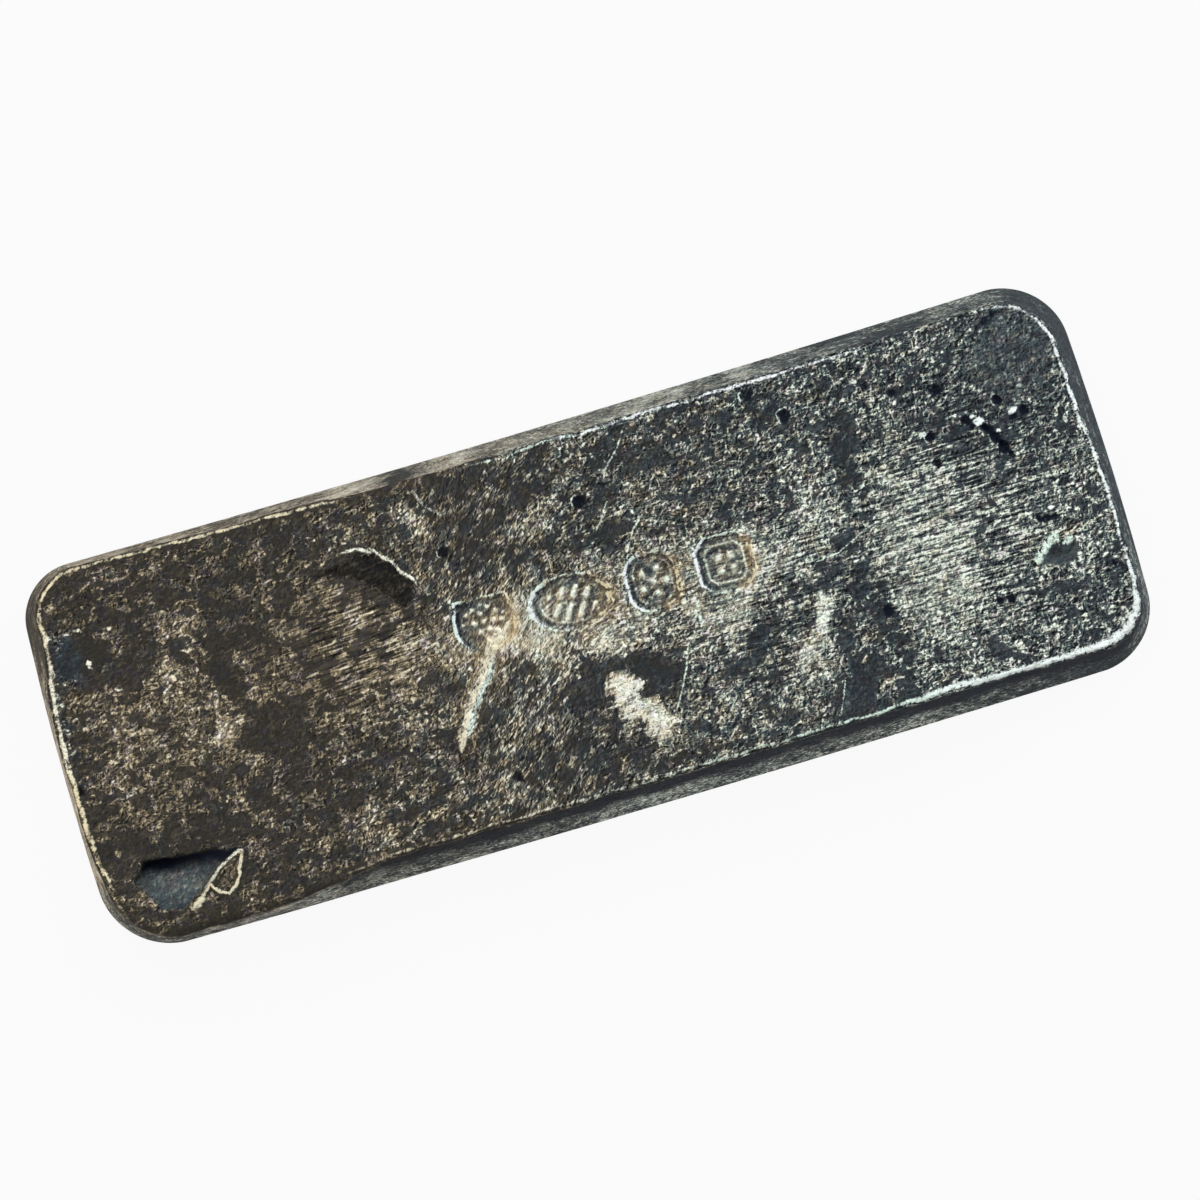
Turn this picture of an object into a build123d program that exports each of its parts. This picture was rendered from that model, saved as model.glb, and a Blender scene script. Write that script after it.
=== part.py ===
"""A small cast silver bar of about ten troy ounces, in millimetres.

The bar was poured into an open iron mould, so its walls lean out from the struck face, which
was the bottom of the mould, to the base, which was the open top. It is stored as it lies: base
down on z = 0, struck face up, length along X, front wall towards -Y.
"""

import math
import os

from build123d import *

# Base: the larger face. Its sides and ends are shallow arcs between four uneven corners.
base_length = 80.6
base_width = 29.8
left_end_back_setback = 0.65
left_end_front_setback = 0.25
right_end_back_setback = 0.55
right_end_front_setback = 0.20
end_peak_y = -3.4
back_left_setback = 0.20
back_middle_setback = 0.42
front_left_setback = 0.42
front_right_setback = 0.22
base_back_left_radius = 4.0
base_back_right_radius = 4.9
base_front_left_radius = 5.2
base_front_right_radius = 4.7

# Height, and how far the walls lean in on the way up. The right half leans in more.
thickness = 13.6
left_end_draft = 1.45
right_end_draft = 1.85
left_half_side_draft = 1.00
right_half_side_draft = 1.80
face_back_left_radius = 3.2
face_back_right_radius = 4.0
face_front_left_radius = 4.4
face_front_right_radius = 3.4
face_edge_radius = 0.35
base_lip_radius = 0.90

# Void in the front left corner, where the metal froze before it filled the mould.
# Seen from above it is a triangle: heel at the left, toe at the right, point at the front.
void_left_end_gap = 1.80
void_front_gap = 1.25
void_length = 8.9
void_width = 4.4
void_point_reach = 2.9
void_toe_rise = 3.8
void_depth = 1.9
void_floor_slope = 20.0
void_corner_radius = 0.40

# Crescent lap left of the middle, the frozen edge of an early splash
lap_left_end_gap = 20.5
lap_back_gap = 4.95
lap_length = 6.0
lap_drop = 5.0
lap_outer_bulge = 2.9
lap_inner_bulge = 1.0
lap_depth = 0.40

# Trough across the right half, left where the metal shrank as it set
trough_right_end_gap = 18.3
trough_y = -2.9
trough_length = 19.0
trough_width = 5.4
trough_depth = 0.30
trough_turn = 86.0

# Four struck recesses in one row that falls a little to the right, from punches 4 mm high
mark_height = 4.0
mark_depth = 0.30
mark_wall_slope = 25.0
mark_row_y = 1.20
mark_row_fall = 2.2
shield_x = -7.1
shield_width = 4.4
shield_shoulder = 2.3
oval_x = -0.75
oval_width = 5.9
rounded_x = 5.3
rounded_width = 3.8
rounded_corner_radius = 1.4
square_x = 10.6
square_width = 4.0
square_corner_cut = 0.9

# Gas holes near the right end: an open crater, and a cluster of pits.
# Each pit is its gap to the right end of the face, its y and its radius.
crater_right_end_gap = 4.7
crater_y = -5.1
crater_length = 2.8
crater_width = 2.1
crater_depth = 0.70
crater_wall_slope = 35.0
crater_turn = 18.0
pit_depth_share = 0.8
pits = [
    (8.3, 5.7, 0.40),
    (7.4, 5.1, 0.50),
    (6.5, 4.0, 0.55),
    (6.0, 2.9, 0.50),
    (5.7, 6.5, 0.40),
    (4.6, 5.5, 0.55),
    (11.2, 5.3, 0.40),
    (11.2, 3.4, 0.38),
]

half_length = base_length / 2
half_width = base_width / 2
face_left = -half_length + left_end_draft
face_right = half_length - right_end_draft
face_back = half_width - (left_half_side_draft + right_half_side_draft) / 2
face_front = -face_back


def bar_outline(height, left_draft, right_draft, left_side_draft, right_side_draft, radii):
    """The bar's outline at one height, with each side drawn in by the draft it has there."""
    middle_draft = (left_side_draft + right_side_draft) / 2
    back_left = (
        -half_length + left_end_back_setback + left_draft,
        half_width - back_left_setback - left_side_draft,
    )
    front_left = (
        -half_length + left_end_front_setback + left_draft,
        -half_width + front_left_setback + left_side_draft,
    )
    back_right = (
        half_length - right_end_back_setback - right_draft,
        half_width - right_side_draft,
    )
    front_right = (
        half_length - right_end_front_setback - right_draft,
        -half_width + front_right_setback + right_side_draft,
    )
    left_peak = (-half_length + left_draft, end_peak_y)
    right_peak = (half_length - right_draft, end_peak_y)
    back_middle = (0, half_width - back_middle_setback - middle_draft)
    front_middle = (0, -half_width + middle_draft)
    with BuildSketch(Plane.XY.offset(height)) as outline:
        with BuildLine():
            ThreePointArc(back_left, left_peak, front_left)
            ThreePointArc(front_left, front_middle, front_right)
            ThreePointArc(front_right, right_peak, back_right)
            ThreePointArc(back_right, back_middle, back_left)
        make_face()
        corners = (back_left, back_right, front_left, front_right)
        for corner, radius in zip(corners, radii):
            fillet(outline.vertices().sort_by_distance(corner)[0], radius)
    return outline.sketch


base_outline = bar_outline(
    0,
    0,
    0,
    0,
    0,
    (
        base_back_left_radius,
        base_back_right_radius,
        base_front_left_radius,
        base_front_right_radius,
    ),
)
face_outline = bar_outline(
    thickness,
    left_end_draft,
    right_end_draft,
    left_half_side_draft,
    right_half_side_draft,
    (
        face_back_left_radius,
        face_back_right_radius,
        face_front_left_radius,
        face_front_right_radius,
    ),
)

# The void's three corners on the struck face, and its floor: deepest along the back wall
void_heel = (face_left + void_left_end_gap, face_front + void_front_gap + void_width)
void_point = (void_heel[0] + void_point_reach, face_front + void_front_gap)
void_toe = (void_heel[0] + void_length, void_point[1] + void_toe_rise)
void_back_wall = Vector(void_toe[0] - void_heel[0], void_toe[1] - void_heel[1], 0)
void_floor = Plane(
    origin=(void_heel[0], void_heel[1], thickness - void_depth),
    x_dir=void_back_wall,
    z_dir=Vector(0, 0, 1).rotate(Axis((0, 0, 0), void_back_wall), -void_floor_slope),
)

# The lap's two tips, and how far its crescent bulges out from the line between them
lap_start = Vector(face_left + lap_left_end_gap, face_back - lap_back_gap)
lap_end = lap_start + Vector(lap_length, -lap_drop)
lap_middle = (lap_start + lap_end) / 2
lap_outward = Vector(lap_drop, lap_length).normalized()

# The trough is cut by a long barrel lying above the face, with only its belly in the metal
barrel_radius = ((trough_width / 2) ** 2 + trough_depth**2) / (2 * trough_depth)
trough_along = Vector(1, 0, 0).rotate(Axis.Z, trough_turn)
trough_plane = Plane(
    origin=(face_right - trough_right_end_gap, trough_y, thickness),
    x_dir=trough_along,
    z_dir=trough_along.cross(Vector(0, 0, 1)),
)


def mark_place(x):
    """Where the mark at this x sits on the struck face, looking down into the metal."""
    return Plane(
        origin=(x, mark_row_y - x * math.tan(math.radians(mark_row_fall)), thickness),
        x_dir=Vector(1, 0, 0).rotate(Axis.Z, -mark_row_fall),
        z_dir=(0, 0, -1),
    )


with BuildPart() as void_tool:
    with BuildSketch(Plane.XY.offset(thickness)) as void_outline:
        with BuildLine():
            Polyline(void_heel, void_toe, void_point, close=True)
        make_face()
        fillet(void_outline.vertices(), void_corner_radius)
    extrude(amount=-void_depth)
    split(bisect_by=void_floor, keep=Keep.TOP)

with BuildPart() as barrel:
    with BuildSketch(trough_plane):
        with BuildLine():
            ThreePointArc((-trough_length / 2, 0), (0, -trough_depth), (trough_length / 2, 0))
            Polyline(
                (trough_length / 2, 0),
                (trough_length / 2, barrel_radius - trough_depth),
                (-trough_length / 2, barrel_radius - trough_depth),
                (-trough_length / 2, 0),
            )
        make_face()
    revolve(
        axis=Axis(
            trough_plane.origin + Vector(0, 0, barrel_radius - trough_depth),
            trough_along,
        )
    )

with BuildPart() as ingot:
    # Body, with its worn face edge and the rounded lip that the open top froze with
    loft([base_outline, face_outline], ruled=True)
    fillet(ingot.faces().sort_by(Axis.Z)[-1].edges(), face_edge_radius)
    fillet(ingot.faces().sort_by(Axis.Z)[0].edges(), base_lip_radius)

    # Casting flaws on the struck face
    add(void_tool.part, mode=Mode.SUBTRACT)
    add(barrel.part, mode=Mode.SUBTRACT)
    with BuildSketch(Plane.XY.offset(thickness)):
        with BuildLine():
            ThreePointArc(lap_start, lap_middle + lap_outward * lap_outer_bulge, lap_end)
            ThreePointArc(lap_end, lap_middle + lap_outward * lap_inner_bulge, lap_start)
        make_face()
    extrude(amount=-lap_depth, mode=Mode.SUBTRACT)

    # The row of marks
    with BuildSketch(mark_place(shield_x)):
        with BuildLine():
            Polyline(
                (-shield_width / 2, -mark_height / 2 + shield_shoulder),
                (-shield_width / 2, -mark_height / 2),
                (shield_width / 2, -mark_height / 2),
                (shield_width / 2, -mark_height / 2 + shield_shoulder),
            )
            TangentArc(
                (shield_width / 2, -mark_height / 2 + shield_shoulder),
                (0, mark_height / 2),
                tangent=(0, 1),
            )
            TangentArc(
                (-shield_width / 2, -mark_height / 2 + shield_shoulder),
                (0, mark_height / 2),
                tangent=(0, 1),
            )
        make_face()
    with BuildSketch(mark_place(rounded_x)):
        RectangleRounded(rounded_width, mark_height, rounded_corner_radius)
    with BuildSketch(mark_place(square_x)) as square_outline:
        Rectangle(square_width, mark_height)
        chamfer(square_outline.vertices(), square_corner_cut)
    extrude(amount=mark_depth, taper=mark_wall_slope, mode=Mode.SUBTRACT)
    oval_inset = mark_depth * math.tan(math.radians(mark_wall_slope))
    with BuildSketch(mark_place(oval_x)):
        Ellipse(oval_width / 2, mark_height / 2)
    with BuildSketch(mark_place(oval_x).offset(mark_depth)):
        Ellipse(oval_width / 2 - oval_inset, mark_height / 2 - oval_inset)
    loft(ruled=True, mode=Mode.SUBTRACT)

    # Gas holes
    crater_place = Plane(
        origin=(face_right - crater_right_end_gap, crater_y, thickness),
        x_dir=Vector(1, 0, 0).rotate(Axis.Z, crater_turn),
        z_dir=(0, 0, -1),
    )
    crater_inset = crater_depth * math.tan(math.radians(crater_wall_slope))
    with BuildSketch(crater_place):
        Ellipse(crater_length / 2, crater_width / 2)
    with BuildSketch(crater_place.offset(crater_depth)):
        Ellipse(crater_length / 2 - crater_inset, crater_width / 2 - crater_inset)
    loft(ruled=True, mode=Mode.SUBTRACT)
    for right_end_gap, pit_y, pit_radius in pits:
        pit_depth = pit_radius * pit_depth_share
        ball_radius = (pit_radius**2 + pit_depth**2) / (2 * pit_depth)
        with Locations((face_right - right_end_gap, pit_y, thickness - pit_depth + ball_radius)):
            Sphere(ball_radius, mode=Mode.SUBTRACT)

ingot.part.label = "ingot"
os.makedirs("parts", exist_ok=True)
export_step(ingot.part, "parts/ingot.step")
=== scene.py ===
# %% [markdown]
# # A small cast silver bar, tarnished nearly black
#
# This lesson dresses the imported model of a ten-ounce silver bar. The bar was poured into an open
# iron mould and turned out, so the face with the struck marks was the bottom of the mould. It is
# the smaller face, and the four walls lean outwards from it down to the base.
#
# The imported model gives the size. Everything that makes the bar look old and handmade is made
# here: the wavy edges, the flaws of the casting, the worn punches, the tarnish and the wear.

import bpy
import numpy as np
from mathutils import Matrix, Vector
from mathutils.geometry import delaunay_2d_cdt


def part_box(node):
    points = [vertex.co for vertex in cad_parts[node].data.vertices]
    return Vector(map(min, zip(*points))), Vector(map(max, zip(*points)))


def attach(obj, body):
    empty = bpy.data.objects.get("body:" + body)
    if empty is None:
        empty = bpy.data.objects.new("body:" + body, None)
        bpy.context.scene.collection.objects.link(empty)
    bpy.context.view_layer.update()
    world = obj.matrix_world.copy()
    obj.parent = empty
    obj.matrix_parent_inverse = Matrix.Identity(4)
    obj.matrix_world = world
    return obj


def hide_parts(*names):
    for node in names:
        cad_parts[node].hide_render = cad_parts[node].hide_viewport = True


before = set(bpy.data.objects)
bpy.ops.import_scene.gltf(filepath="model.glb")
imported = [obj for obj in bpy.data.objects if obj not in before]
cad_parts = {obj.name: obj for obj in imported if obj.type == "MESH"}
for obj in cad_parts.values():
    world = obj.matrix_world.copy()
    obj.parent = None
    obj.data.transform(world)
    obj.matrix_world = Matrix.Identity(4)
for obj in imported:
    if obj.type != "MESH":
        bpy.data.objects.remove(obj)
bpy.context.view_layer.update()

# %% [markdown]
# ## Sizes
#
# The sums below are in millimetres, because that is how a bar this small is measured, and only the
# finished mesh is turned into metres. The length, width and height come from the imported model. The
# rest says how that box is filled: how far each wall leans in, how round each corner is, and how
# the long sides bow.

# %% Sizes of the bar, in millimetres
MM = 0.001
ingot_low, ingot_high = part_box("ingot")
lip_lean_x = 0.09
lip_lean_y = 0.15
half_length = (ingot_high[0] - ingot_low[0]) / 2 / MM + lip_lean_x
half_width = (ingot_high[1] - ingot_low[1]) / 2 / MM + lip_lean_y
thickness = (ingot_high[2] - ingot_low[2]) / MM

end_bow = 0.0019
end_peak_y = -3.4
lip_radius = 0.9
proud_allowance = 0.24
corner_radii = {
    "back right": (4.9, 4.0),
    "back left": (4.0, 3.2),
    "front left": (5.2, 4.4),
    "front right": (4.7, 3.4),
}
print("bar", round(2 * half_length, 2), round(2 * half_width, 2), round(thickness, 2), "mm")

# %% [markdown]
# ## Soft steps, bells and noise
#
# Three helpers carry most of the shaping. `smooth` is a soft step, used to fade one thing into the
# next. `bell` is a soft bump, used for rims, beads and lines. `noise` is gradient noise: every corner
# of an unseen grid gets a random direction, and the heights between the corners are blended.
# Blender's own noise could be called point by point, but a numpy version works on all the points at
# once and takes a fraction of the time.

# %% Soft step, bell and gradient noise
def smooth(low, high, value):
    """A soft step: 0 below low, 1 above high."""
    share = np.clip((value - low) / (high - low), 0, 1)
    return share * share * (3 - 2 * share)


def bell(distance, width):
    """A soft bump: 1 at distance 0, and nearly 0 beyond two widths."""
    return np.exp(-((distance / width) ** 2))


draw = np.random.default_rng(11)
shuffle = draw.permutation(256)
directions = draw.normal(size=(256, 3))
directions /= np.linalg.norm(directions, axis=1, keepdims=True)


def noise(points, cell, seed=0):
    """Gradient noise from about -1 to 1 at each point, with lumps about one cell wide."""
    scaled = points / cell + np.array([13.1, 7.7, 3.3]) * (seed + 1)
    corner = np.floor(scaled).astype(int)
    inside = scaled - corner
    fade = inside**3 * (inside * (inside * 6 - 15) + 10)
    total = np.zeros(len(points))
    for step in np.ndindex(2, 2, 2):
        grid = (corner + step) & 255
        pick = shuffle[(shuffle[(shuffle[grid[:, 0]] + grid[:, 1]) & 255] + grid[:, 2]) & 255]
        height = (directions[pick] * (inside - step)).sum(1)
        total += height * np.prod(np.where(step, fade, 1 - fade), axis=1)
    return 1.6 * total


sample = noise(np.indices((20, 20, 20)).reshape(3, -1).T * 0.37, 1.0)
print("noise runs from", sample.min().round(2), "to", sample.max().round(2))

# %% [markdown]
# ## The outline
#
# Each wall is a line that bows a little, and two walls meet in a round corner. The same four lines
# at another height, drawn in by the lean of the walls, give the outline there. So the whole outside
# of the bar is one outline, asked for at many heights. All outlines have the same number of points,
# so that neighbouring ones can be joined by a band of faces.

# %% Where each wall stands
def left_lean(y):
    """How far the left end leans in from base to face."""
    return 1.3 + 0.6 * smooth(4.5, 8.5, y) + 0.5 * smooth(-6, -11.5, y)


def right_lean(y):
    """The same for the right end."""
    return 1.55 + 0.45 * smooth(-2, 5, y)


def back_lean(x):
    """The same for the back wall, which leans more towards the right."""
    return 0.85 + 0.25 * smooth(-34, -20, x) + 0.45 * smooth(-20, -8, x) + 0.1 * smooth(0, 30, x)


def front_lean(x):
    """The same for the front wall, which stands nearly upright left of the void."""
    return 0.65 + 1.3 * smooth(-28, -17, x) - 0.25 * smooth(24, 36, x)


def end_line(side, y, share):
    """x of the left (side -1) or right (side 1) end wall at this y. share is 0 at the base, 1 at the face."""
    lean = left_lean(y) if side < 0 else right_lean(y)
    return side * (half_length - end_bow * (y - end_peak_y) ** 2 - lean * share)


def side_line(side, x, share):
    """y of the front (side -1) or back (side 1) wall at this x."""
    sag = 0.42 - 0.0025 * x - 0.0002 * x**2 if side > 0 else 0.0002 * x**2 - 0.0025 * x
    lean = back_lean(x) if side > 0 else front_lean(x)
    return side * (half_width - sag - lean * share)


# %% One outline at one height
LONG_STEPS = 330
END_STEPS = 86
CORNER_STEPS = 30
turns = (
    ("back right", 1, 1, 0),
    ("back left", -1, 1, 90),
    ("front left", -1, -1, 180),
    ("front right", 1, -1, 270),
)


def outline(share):
    """Points once round the bar, anticlockwise from the right end, and the way out at each."""
    corners = []
    for name, side_x, side_y, start in turns:
        base_radius, face_radius = corner_radii[name]
        radius = base_radius + (face_radius - base_radius) * share
        angle = np.radians(start + 90 * np.linspace(0, 1, CORNER_STEPS))
        x, y = side_x * half_length, side_y * half_width
        for _ in range(5):
            x, y = (
                end_line(side_x, y, share) + radius * (np.cos(angle) - side_x),
                side_line(side_y, x, share) + radius * (np.sin(angle) - side_y),
            )
        corners.append(np.stack([x, y], 1))
    stretches = []
    for k, corner in enumerate(corners):
        following = corners[(k + 1) % 4]
        along = np.linspace(0, 1, (LONG_STEPS, END_STEPS)[k % 2] + 2)[1:-1, None]
        line = corner[-1] + (following[0] - corner[-1]) * along
        if k % 2:
            line[:, 0] = end_line(turns[k][1], line[:, 1], share)
        else:
            line[:, 1] = side_line(turns[k][2], line[:, 0], share)
        stretches += [corner, line]
    points = np.concatenate(stretches)
    ahead = np.roll(points, -1, 0) - np.roll(points, 1, 0)
    out = np.stack([ahead[:, 1], -ahead[:, 0]], 1)
    return points, out / np.linalg.norm(out, axis=1, keepdims=True)


def edge_gap(x, y, share=1.0):
    """How far inside the outline each point lies, in millimetres."""
    side_x = np.where(x > 0, 1, -1)
    side_y = np.where(y > 0, 1, -1)
    right_gap = end_line(1, y, share) - x
    left_gap = x - end_line(-1, y, share)
    back_gap = side_line(1, x, share) - y
    front_gap = y - side_line(-1, x, share)
    gap_x = np.where(x > 0, right_gap, left_gap)
    gap_y = np.where(y > 0, back_gap, front_gap)
    radius = np.zeros_like(x)
    for name, turn_x, turn_y, _ in turns:
        base_radius, face_radius = corner_radii[name]
        here = (side_x == turn_x) & (side_y == turn_y)
        radius[here] = base_radius + (face_radius - base_radius) * share
    in_corner = (gap_x < radius) & (gap_y < radius)
    round_gap = radius - np.hypot(radius - gap_x, radius - gap_y)
    return np.where(in_corner, round_gap, np.minimum(gap_x, gap_y))


for height_name, height_share in (("base", 0), ("face", 1)):
    print(height_name, "outline", np.ptp(outline(height_share)[0], axis=0).round(2), "mm")

# %% [markdown]
# ## Shapes drawn on the face
#
# The flaws of this bar were read off the photo one by one, so each gets its own place. Three kinds
# of shape are enough for all of them: a soft oval patch, a stroke along a bent line, and a filled
# outline. Each is a function that says, for every point of the face, how near it is to the shape.

# %% Patches, strokes and filled outlines
def patch(x, y, place, size, turn=0, soft=0.5):
    """1 in an oval patch, fading to 0 at its border. turn is anticlockwise, in degrees."""
    angle = np.radians(turn)
    dx, dy = x - place[0], y - place[1]
    along = (dx * np.cos(angle) + dy * np.sin(angle)) / size[0]
    across = (dy * np.cos(angle) - dx * np.sin(angle)) / size[1]
    return 1 - smooth(1 - soft, 1 + soft, np.hypot(along, across))


def line_gap(x, y, points, closed=False):
    """Distance from each point to a bent line, and how far along the line the nearest spot is, 0 to 1."""
    corners = np.array(points + points[:1] if closed else points, float)
    steps = np.diff(corners, axis=0)
    lengths = np.hypot(*steps.T)
    before = np.concatenate([[0], np.cumsum(lengths)])
    best = np.full(x.shape, np.inf)
    place = np.zeros(x.shape)
    for start, step, length, walked in zip(corners, steps, lengths, before):
        along = np.clip(((x - start[0]) * step[0] + (y - start[1]) * step[1]) / length**2, 0, 1)
        gap = np.hypot(x - start[0] - along * step[0], y - start[1] - along * step[1])
        nearer = gap < best
        best = np.where(nearer, gap, best)
        place = np.where(nearer, (walked + along * length) / before[-1], place)
    return best, place


def stroke(x, y, points, width, tips=0.15):
    """1 on a bent line, fading to 0 at half a width from it, and thinner towards its two tips."""
    gap, place = line_gap(x, y, points)
    thin = width / 2 * smooth(0, tips, place) * smooth(0, tips, 1 - place) + 1e-6
    return bell(gap, thin)


def inside(x, y, points):
    """Distance to a filled outline's border: above 0 inside it, below 0 outside."""
    gap, _ = line_gap(x, y, points, closed=True)
    within = np.zeros(x.shape, bool)
    for (ax, ay), (bx, by) in zip(points, points[1:] + points[:1]):
        crosses = (ay > y) != (by > y)
        meet = ax + (y - ay) * (bx - ax) / (by - ay if by != ay else 1e-9)
        within ^= crosses & (x < meet)
    return np.where(within, gap, -gap)


sample = patch(np.array([0.0, 1.0, 2.0]), np.zeros(3), (0, 0), (1, 1))
print("a patch of half size 1 mm, 0, 1 and 2 mm from its middle", sample)

# %% [markdown]
# ## The flaws of the casting
#
# The metal froze unevenly. In the front left corner it froze before it filled the mould and left a
# three-cornered void, with a thin burr folded over its front side. Left of the middle a splash froze
# first, and its edge shows as a crescent lap. A ridge runs down from the first mark, and on the right
# a shallow trough crosses the bar where the metal shrank. Near the right end a bubble broke open and
# left a crater with a torn crest. All of them are real shape, cut into or raised from the face, so
# that light and shadow find them from any side. A bump in the material would be quicker, but it would
# lie flat in a side view and cast no shadow.

# %% Places of the flaws
void_border = [(-36.6, -9.3), (-35.4, -7.9), (-32.0, -8.25), (-27.8, -8.95), (-33.4, -12.1), (-34.9, -12.0)]
void_back_edge = [(-36.6, -7.9), (-27.8, -8.95)]
void_tip = (-27.8, -8.95)
burr_lines = [
    [(-28.3, -9.15), (-29.2, -9.35), (-30.4, -10.0), (-31.4, -10.85), (-32.1, -11.7), (-33.1, -12.35)],
    [
        (-31.3, -10.8), (-31.1, -11.2), (-30.7, -11.7), (-30.1, -11.85), (-29.4, -11.55), (-29.0, -10.6),
        (-28.3, -9.15),
    ],
]
lap_border = [
    (-18.5, 8.1), (-16.0, 8.6), (-14.5, 8.9), (-13.3, 8.55), (-12.4, 7.6), (-11.5, 6.4), (-10.9, 5.5),
    (-11.4, 4.8), (-12.2, 3.8), (-13.3, 5.1), (-14.6, 6.6), (-16.2, 7.6),
]
lap_crest = [
    (-15.9, 9.1), (-14.6, 9.15), (-13.3, 8.7), (-12.35, 7.7), (-11.8, 6.8), (-11.1, 5.9), (-10.7, 5.2),
]
small_lap_crest = [(-9.5, 12.3), (-8.9, 10.8), (-7.8, 9.6)]
crater_border = [
    (32.4, -5.8), (33.1, -5.0), (33.5, -4.65), (34.1, -4.85), (34.5, -5.1), (35.2, -4.55),
    (35.4, -5.3), (35.0, -6.0), (34.2, -6.4), (33.6, -6.3), (32.9, -6.05),
]
crater_crests = [
    # points, width
    ([(32.0, -5.8), (32.5, -5.2), (32.9, -4.75), (33.3, -4.35), (33.8, -4.2), (34.15, -4.6)], 0.8),
    ([(34.2, -4.95), (34.6, -4.7), (35.1, -4.3)], 0.5),
]
ridge_line = [
    (-4.9, 1.7), (-5.8, 0.6), (-7.1, -0.5), (-8.3, -2.3), (-9.7, -4.1), (-10.9, -6.1), (-11.5, -7.4),
]
ridge_right = [(-6.9, -0.9), (-8.1, -2.6), (-9.5, -4.3), (-10.7, -6.2)]
trough_line = [(20.6, 12.6), (21.2, 8.6), (21.1, 4.0), (20.5, -1.8), (19.7, -6.5), (17.4, -11.5)]
trough_step = [(21.9, 12.8), (22.2, 8.4), (22.4, 4.4), (21.9, -1.8), (21.0, -6.0), (19.6, -9.5)]
humps = [
    # place, half size, turn, rise
    ((1.7, -7.2), (2.6, 1.1), -55, 0.13),
    ((16.1, -5.0), (1.6, 0.9), 60, 0.10),
    ((14.5, -7.5), (1.6, 0.9), 50, 0.10),
    ((7.7, -4.6), (2.2, 1.2), 10, 0.07),
    ((-10.4, 9.9), (1.5, 0.7), -70, 0.08),
]
hollows = [
    # place, half size, turn, drop
    ((-37.6, 4.4), (0.9, 4.2), 0, 0.16),
    ((3.4, -5.1), (1.8, 0.9), -15, 0.10),
    ((-8.0, -9.9), (0.8, 0.6), 0, 0.08),
    ((17.4, -10.6), (2.2, 1.2), 50, 0.12),
    ((-21.3, -1.0), (2.2, 1.6), 20, 0.05),
    ((-37.4, -5.8), (1.4, 2.2), 20, 0.10),
]


def wavy(x, y):
    """The same points nudged by noise, so that a line drawn through them wavers."""
    points = np.stack([x, y, 0 * x], -1)
    return x + 0.14 * noise(points, 0.8, 41), y + 0.14 * noise(points, 0.8, 42)


def flaws(x, y):
    """Height of the casting's flaws above the plain face."""
    height = np.zeros(x.shape)
    for place, size, turn, rise in humps:
        height += rise * patch(x, y, place, size, turn, 0.9)
    for place, size, turn, drop in hollows:
        height -= drop * patch(x, y, place, size, turn, 0.6)
    trough_gap, trough_place = line_gap(x, y, trough_line)
    height -= 0.22 * bell(trough_gap, 1.7) * smooth(0, 0.2, trough_place)
    height += 0.05 * stroke(x, y, trough_step, 0.8)
    height += 0.16 * stroke(x, y, ridge_line, 0.95, 0.3)
    lap_depth = inside(x, y, lap_border)
    height -= 0.34 * smooth(0, 0.5, lap_depth)
    height += 0.09 * stroke(x, y, lap_crest, 0.36, 0.1)
    height += 0.08 * stroke(x, y, small_lap_crest, 0.4)
    wavy_x, wavy_y = wavy(x, y)
    height -= 0.65 * smooth(-0.1, 0.65, inside(wavy_x, wavy_y, crater_border))
    for line, width in crater_crests:
        height += 0.12 * stroke(wavy_x, wavy_y, line, width, 0.1)
    void_inside = inside(wavy_x, wavy_y, void_border)
    back_gap, _ = line_gap(x, y, void_back_edge)
    tip_gap = np.hypot(x - void_tip[0], y - void_tip[1])
    floor = (1.85 - 0.42 * back_gap) * smooth(0, 4.5, tip_gap)
    height -= np.maximum(floor, 0.12) * smooth(0, 0.2, void_inside)
    for line in burr_lines:
        height += 0.2 * stroke(wavy_x, wavy_y, line, 0.3, 0.06)
    return height


probe_x, probe_y = np.array([-33.5, 33.9, 20.9]), np.array([-9.4, -5.6, 2.0])
print("height in the void, the crater and the trough", flaws(probe_x, probe_y).round(2), "mm")
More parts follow.
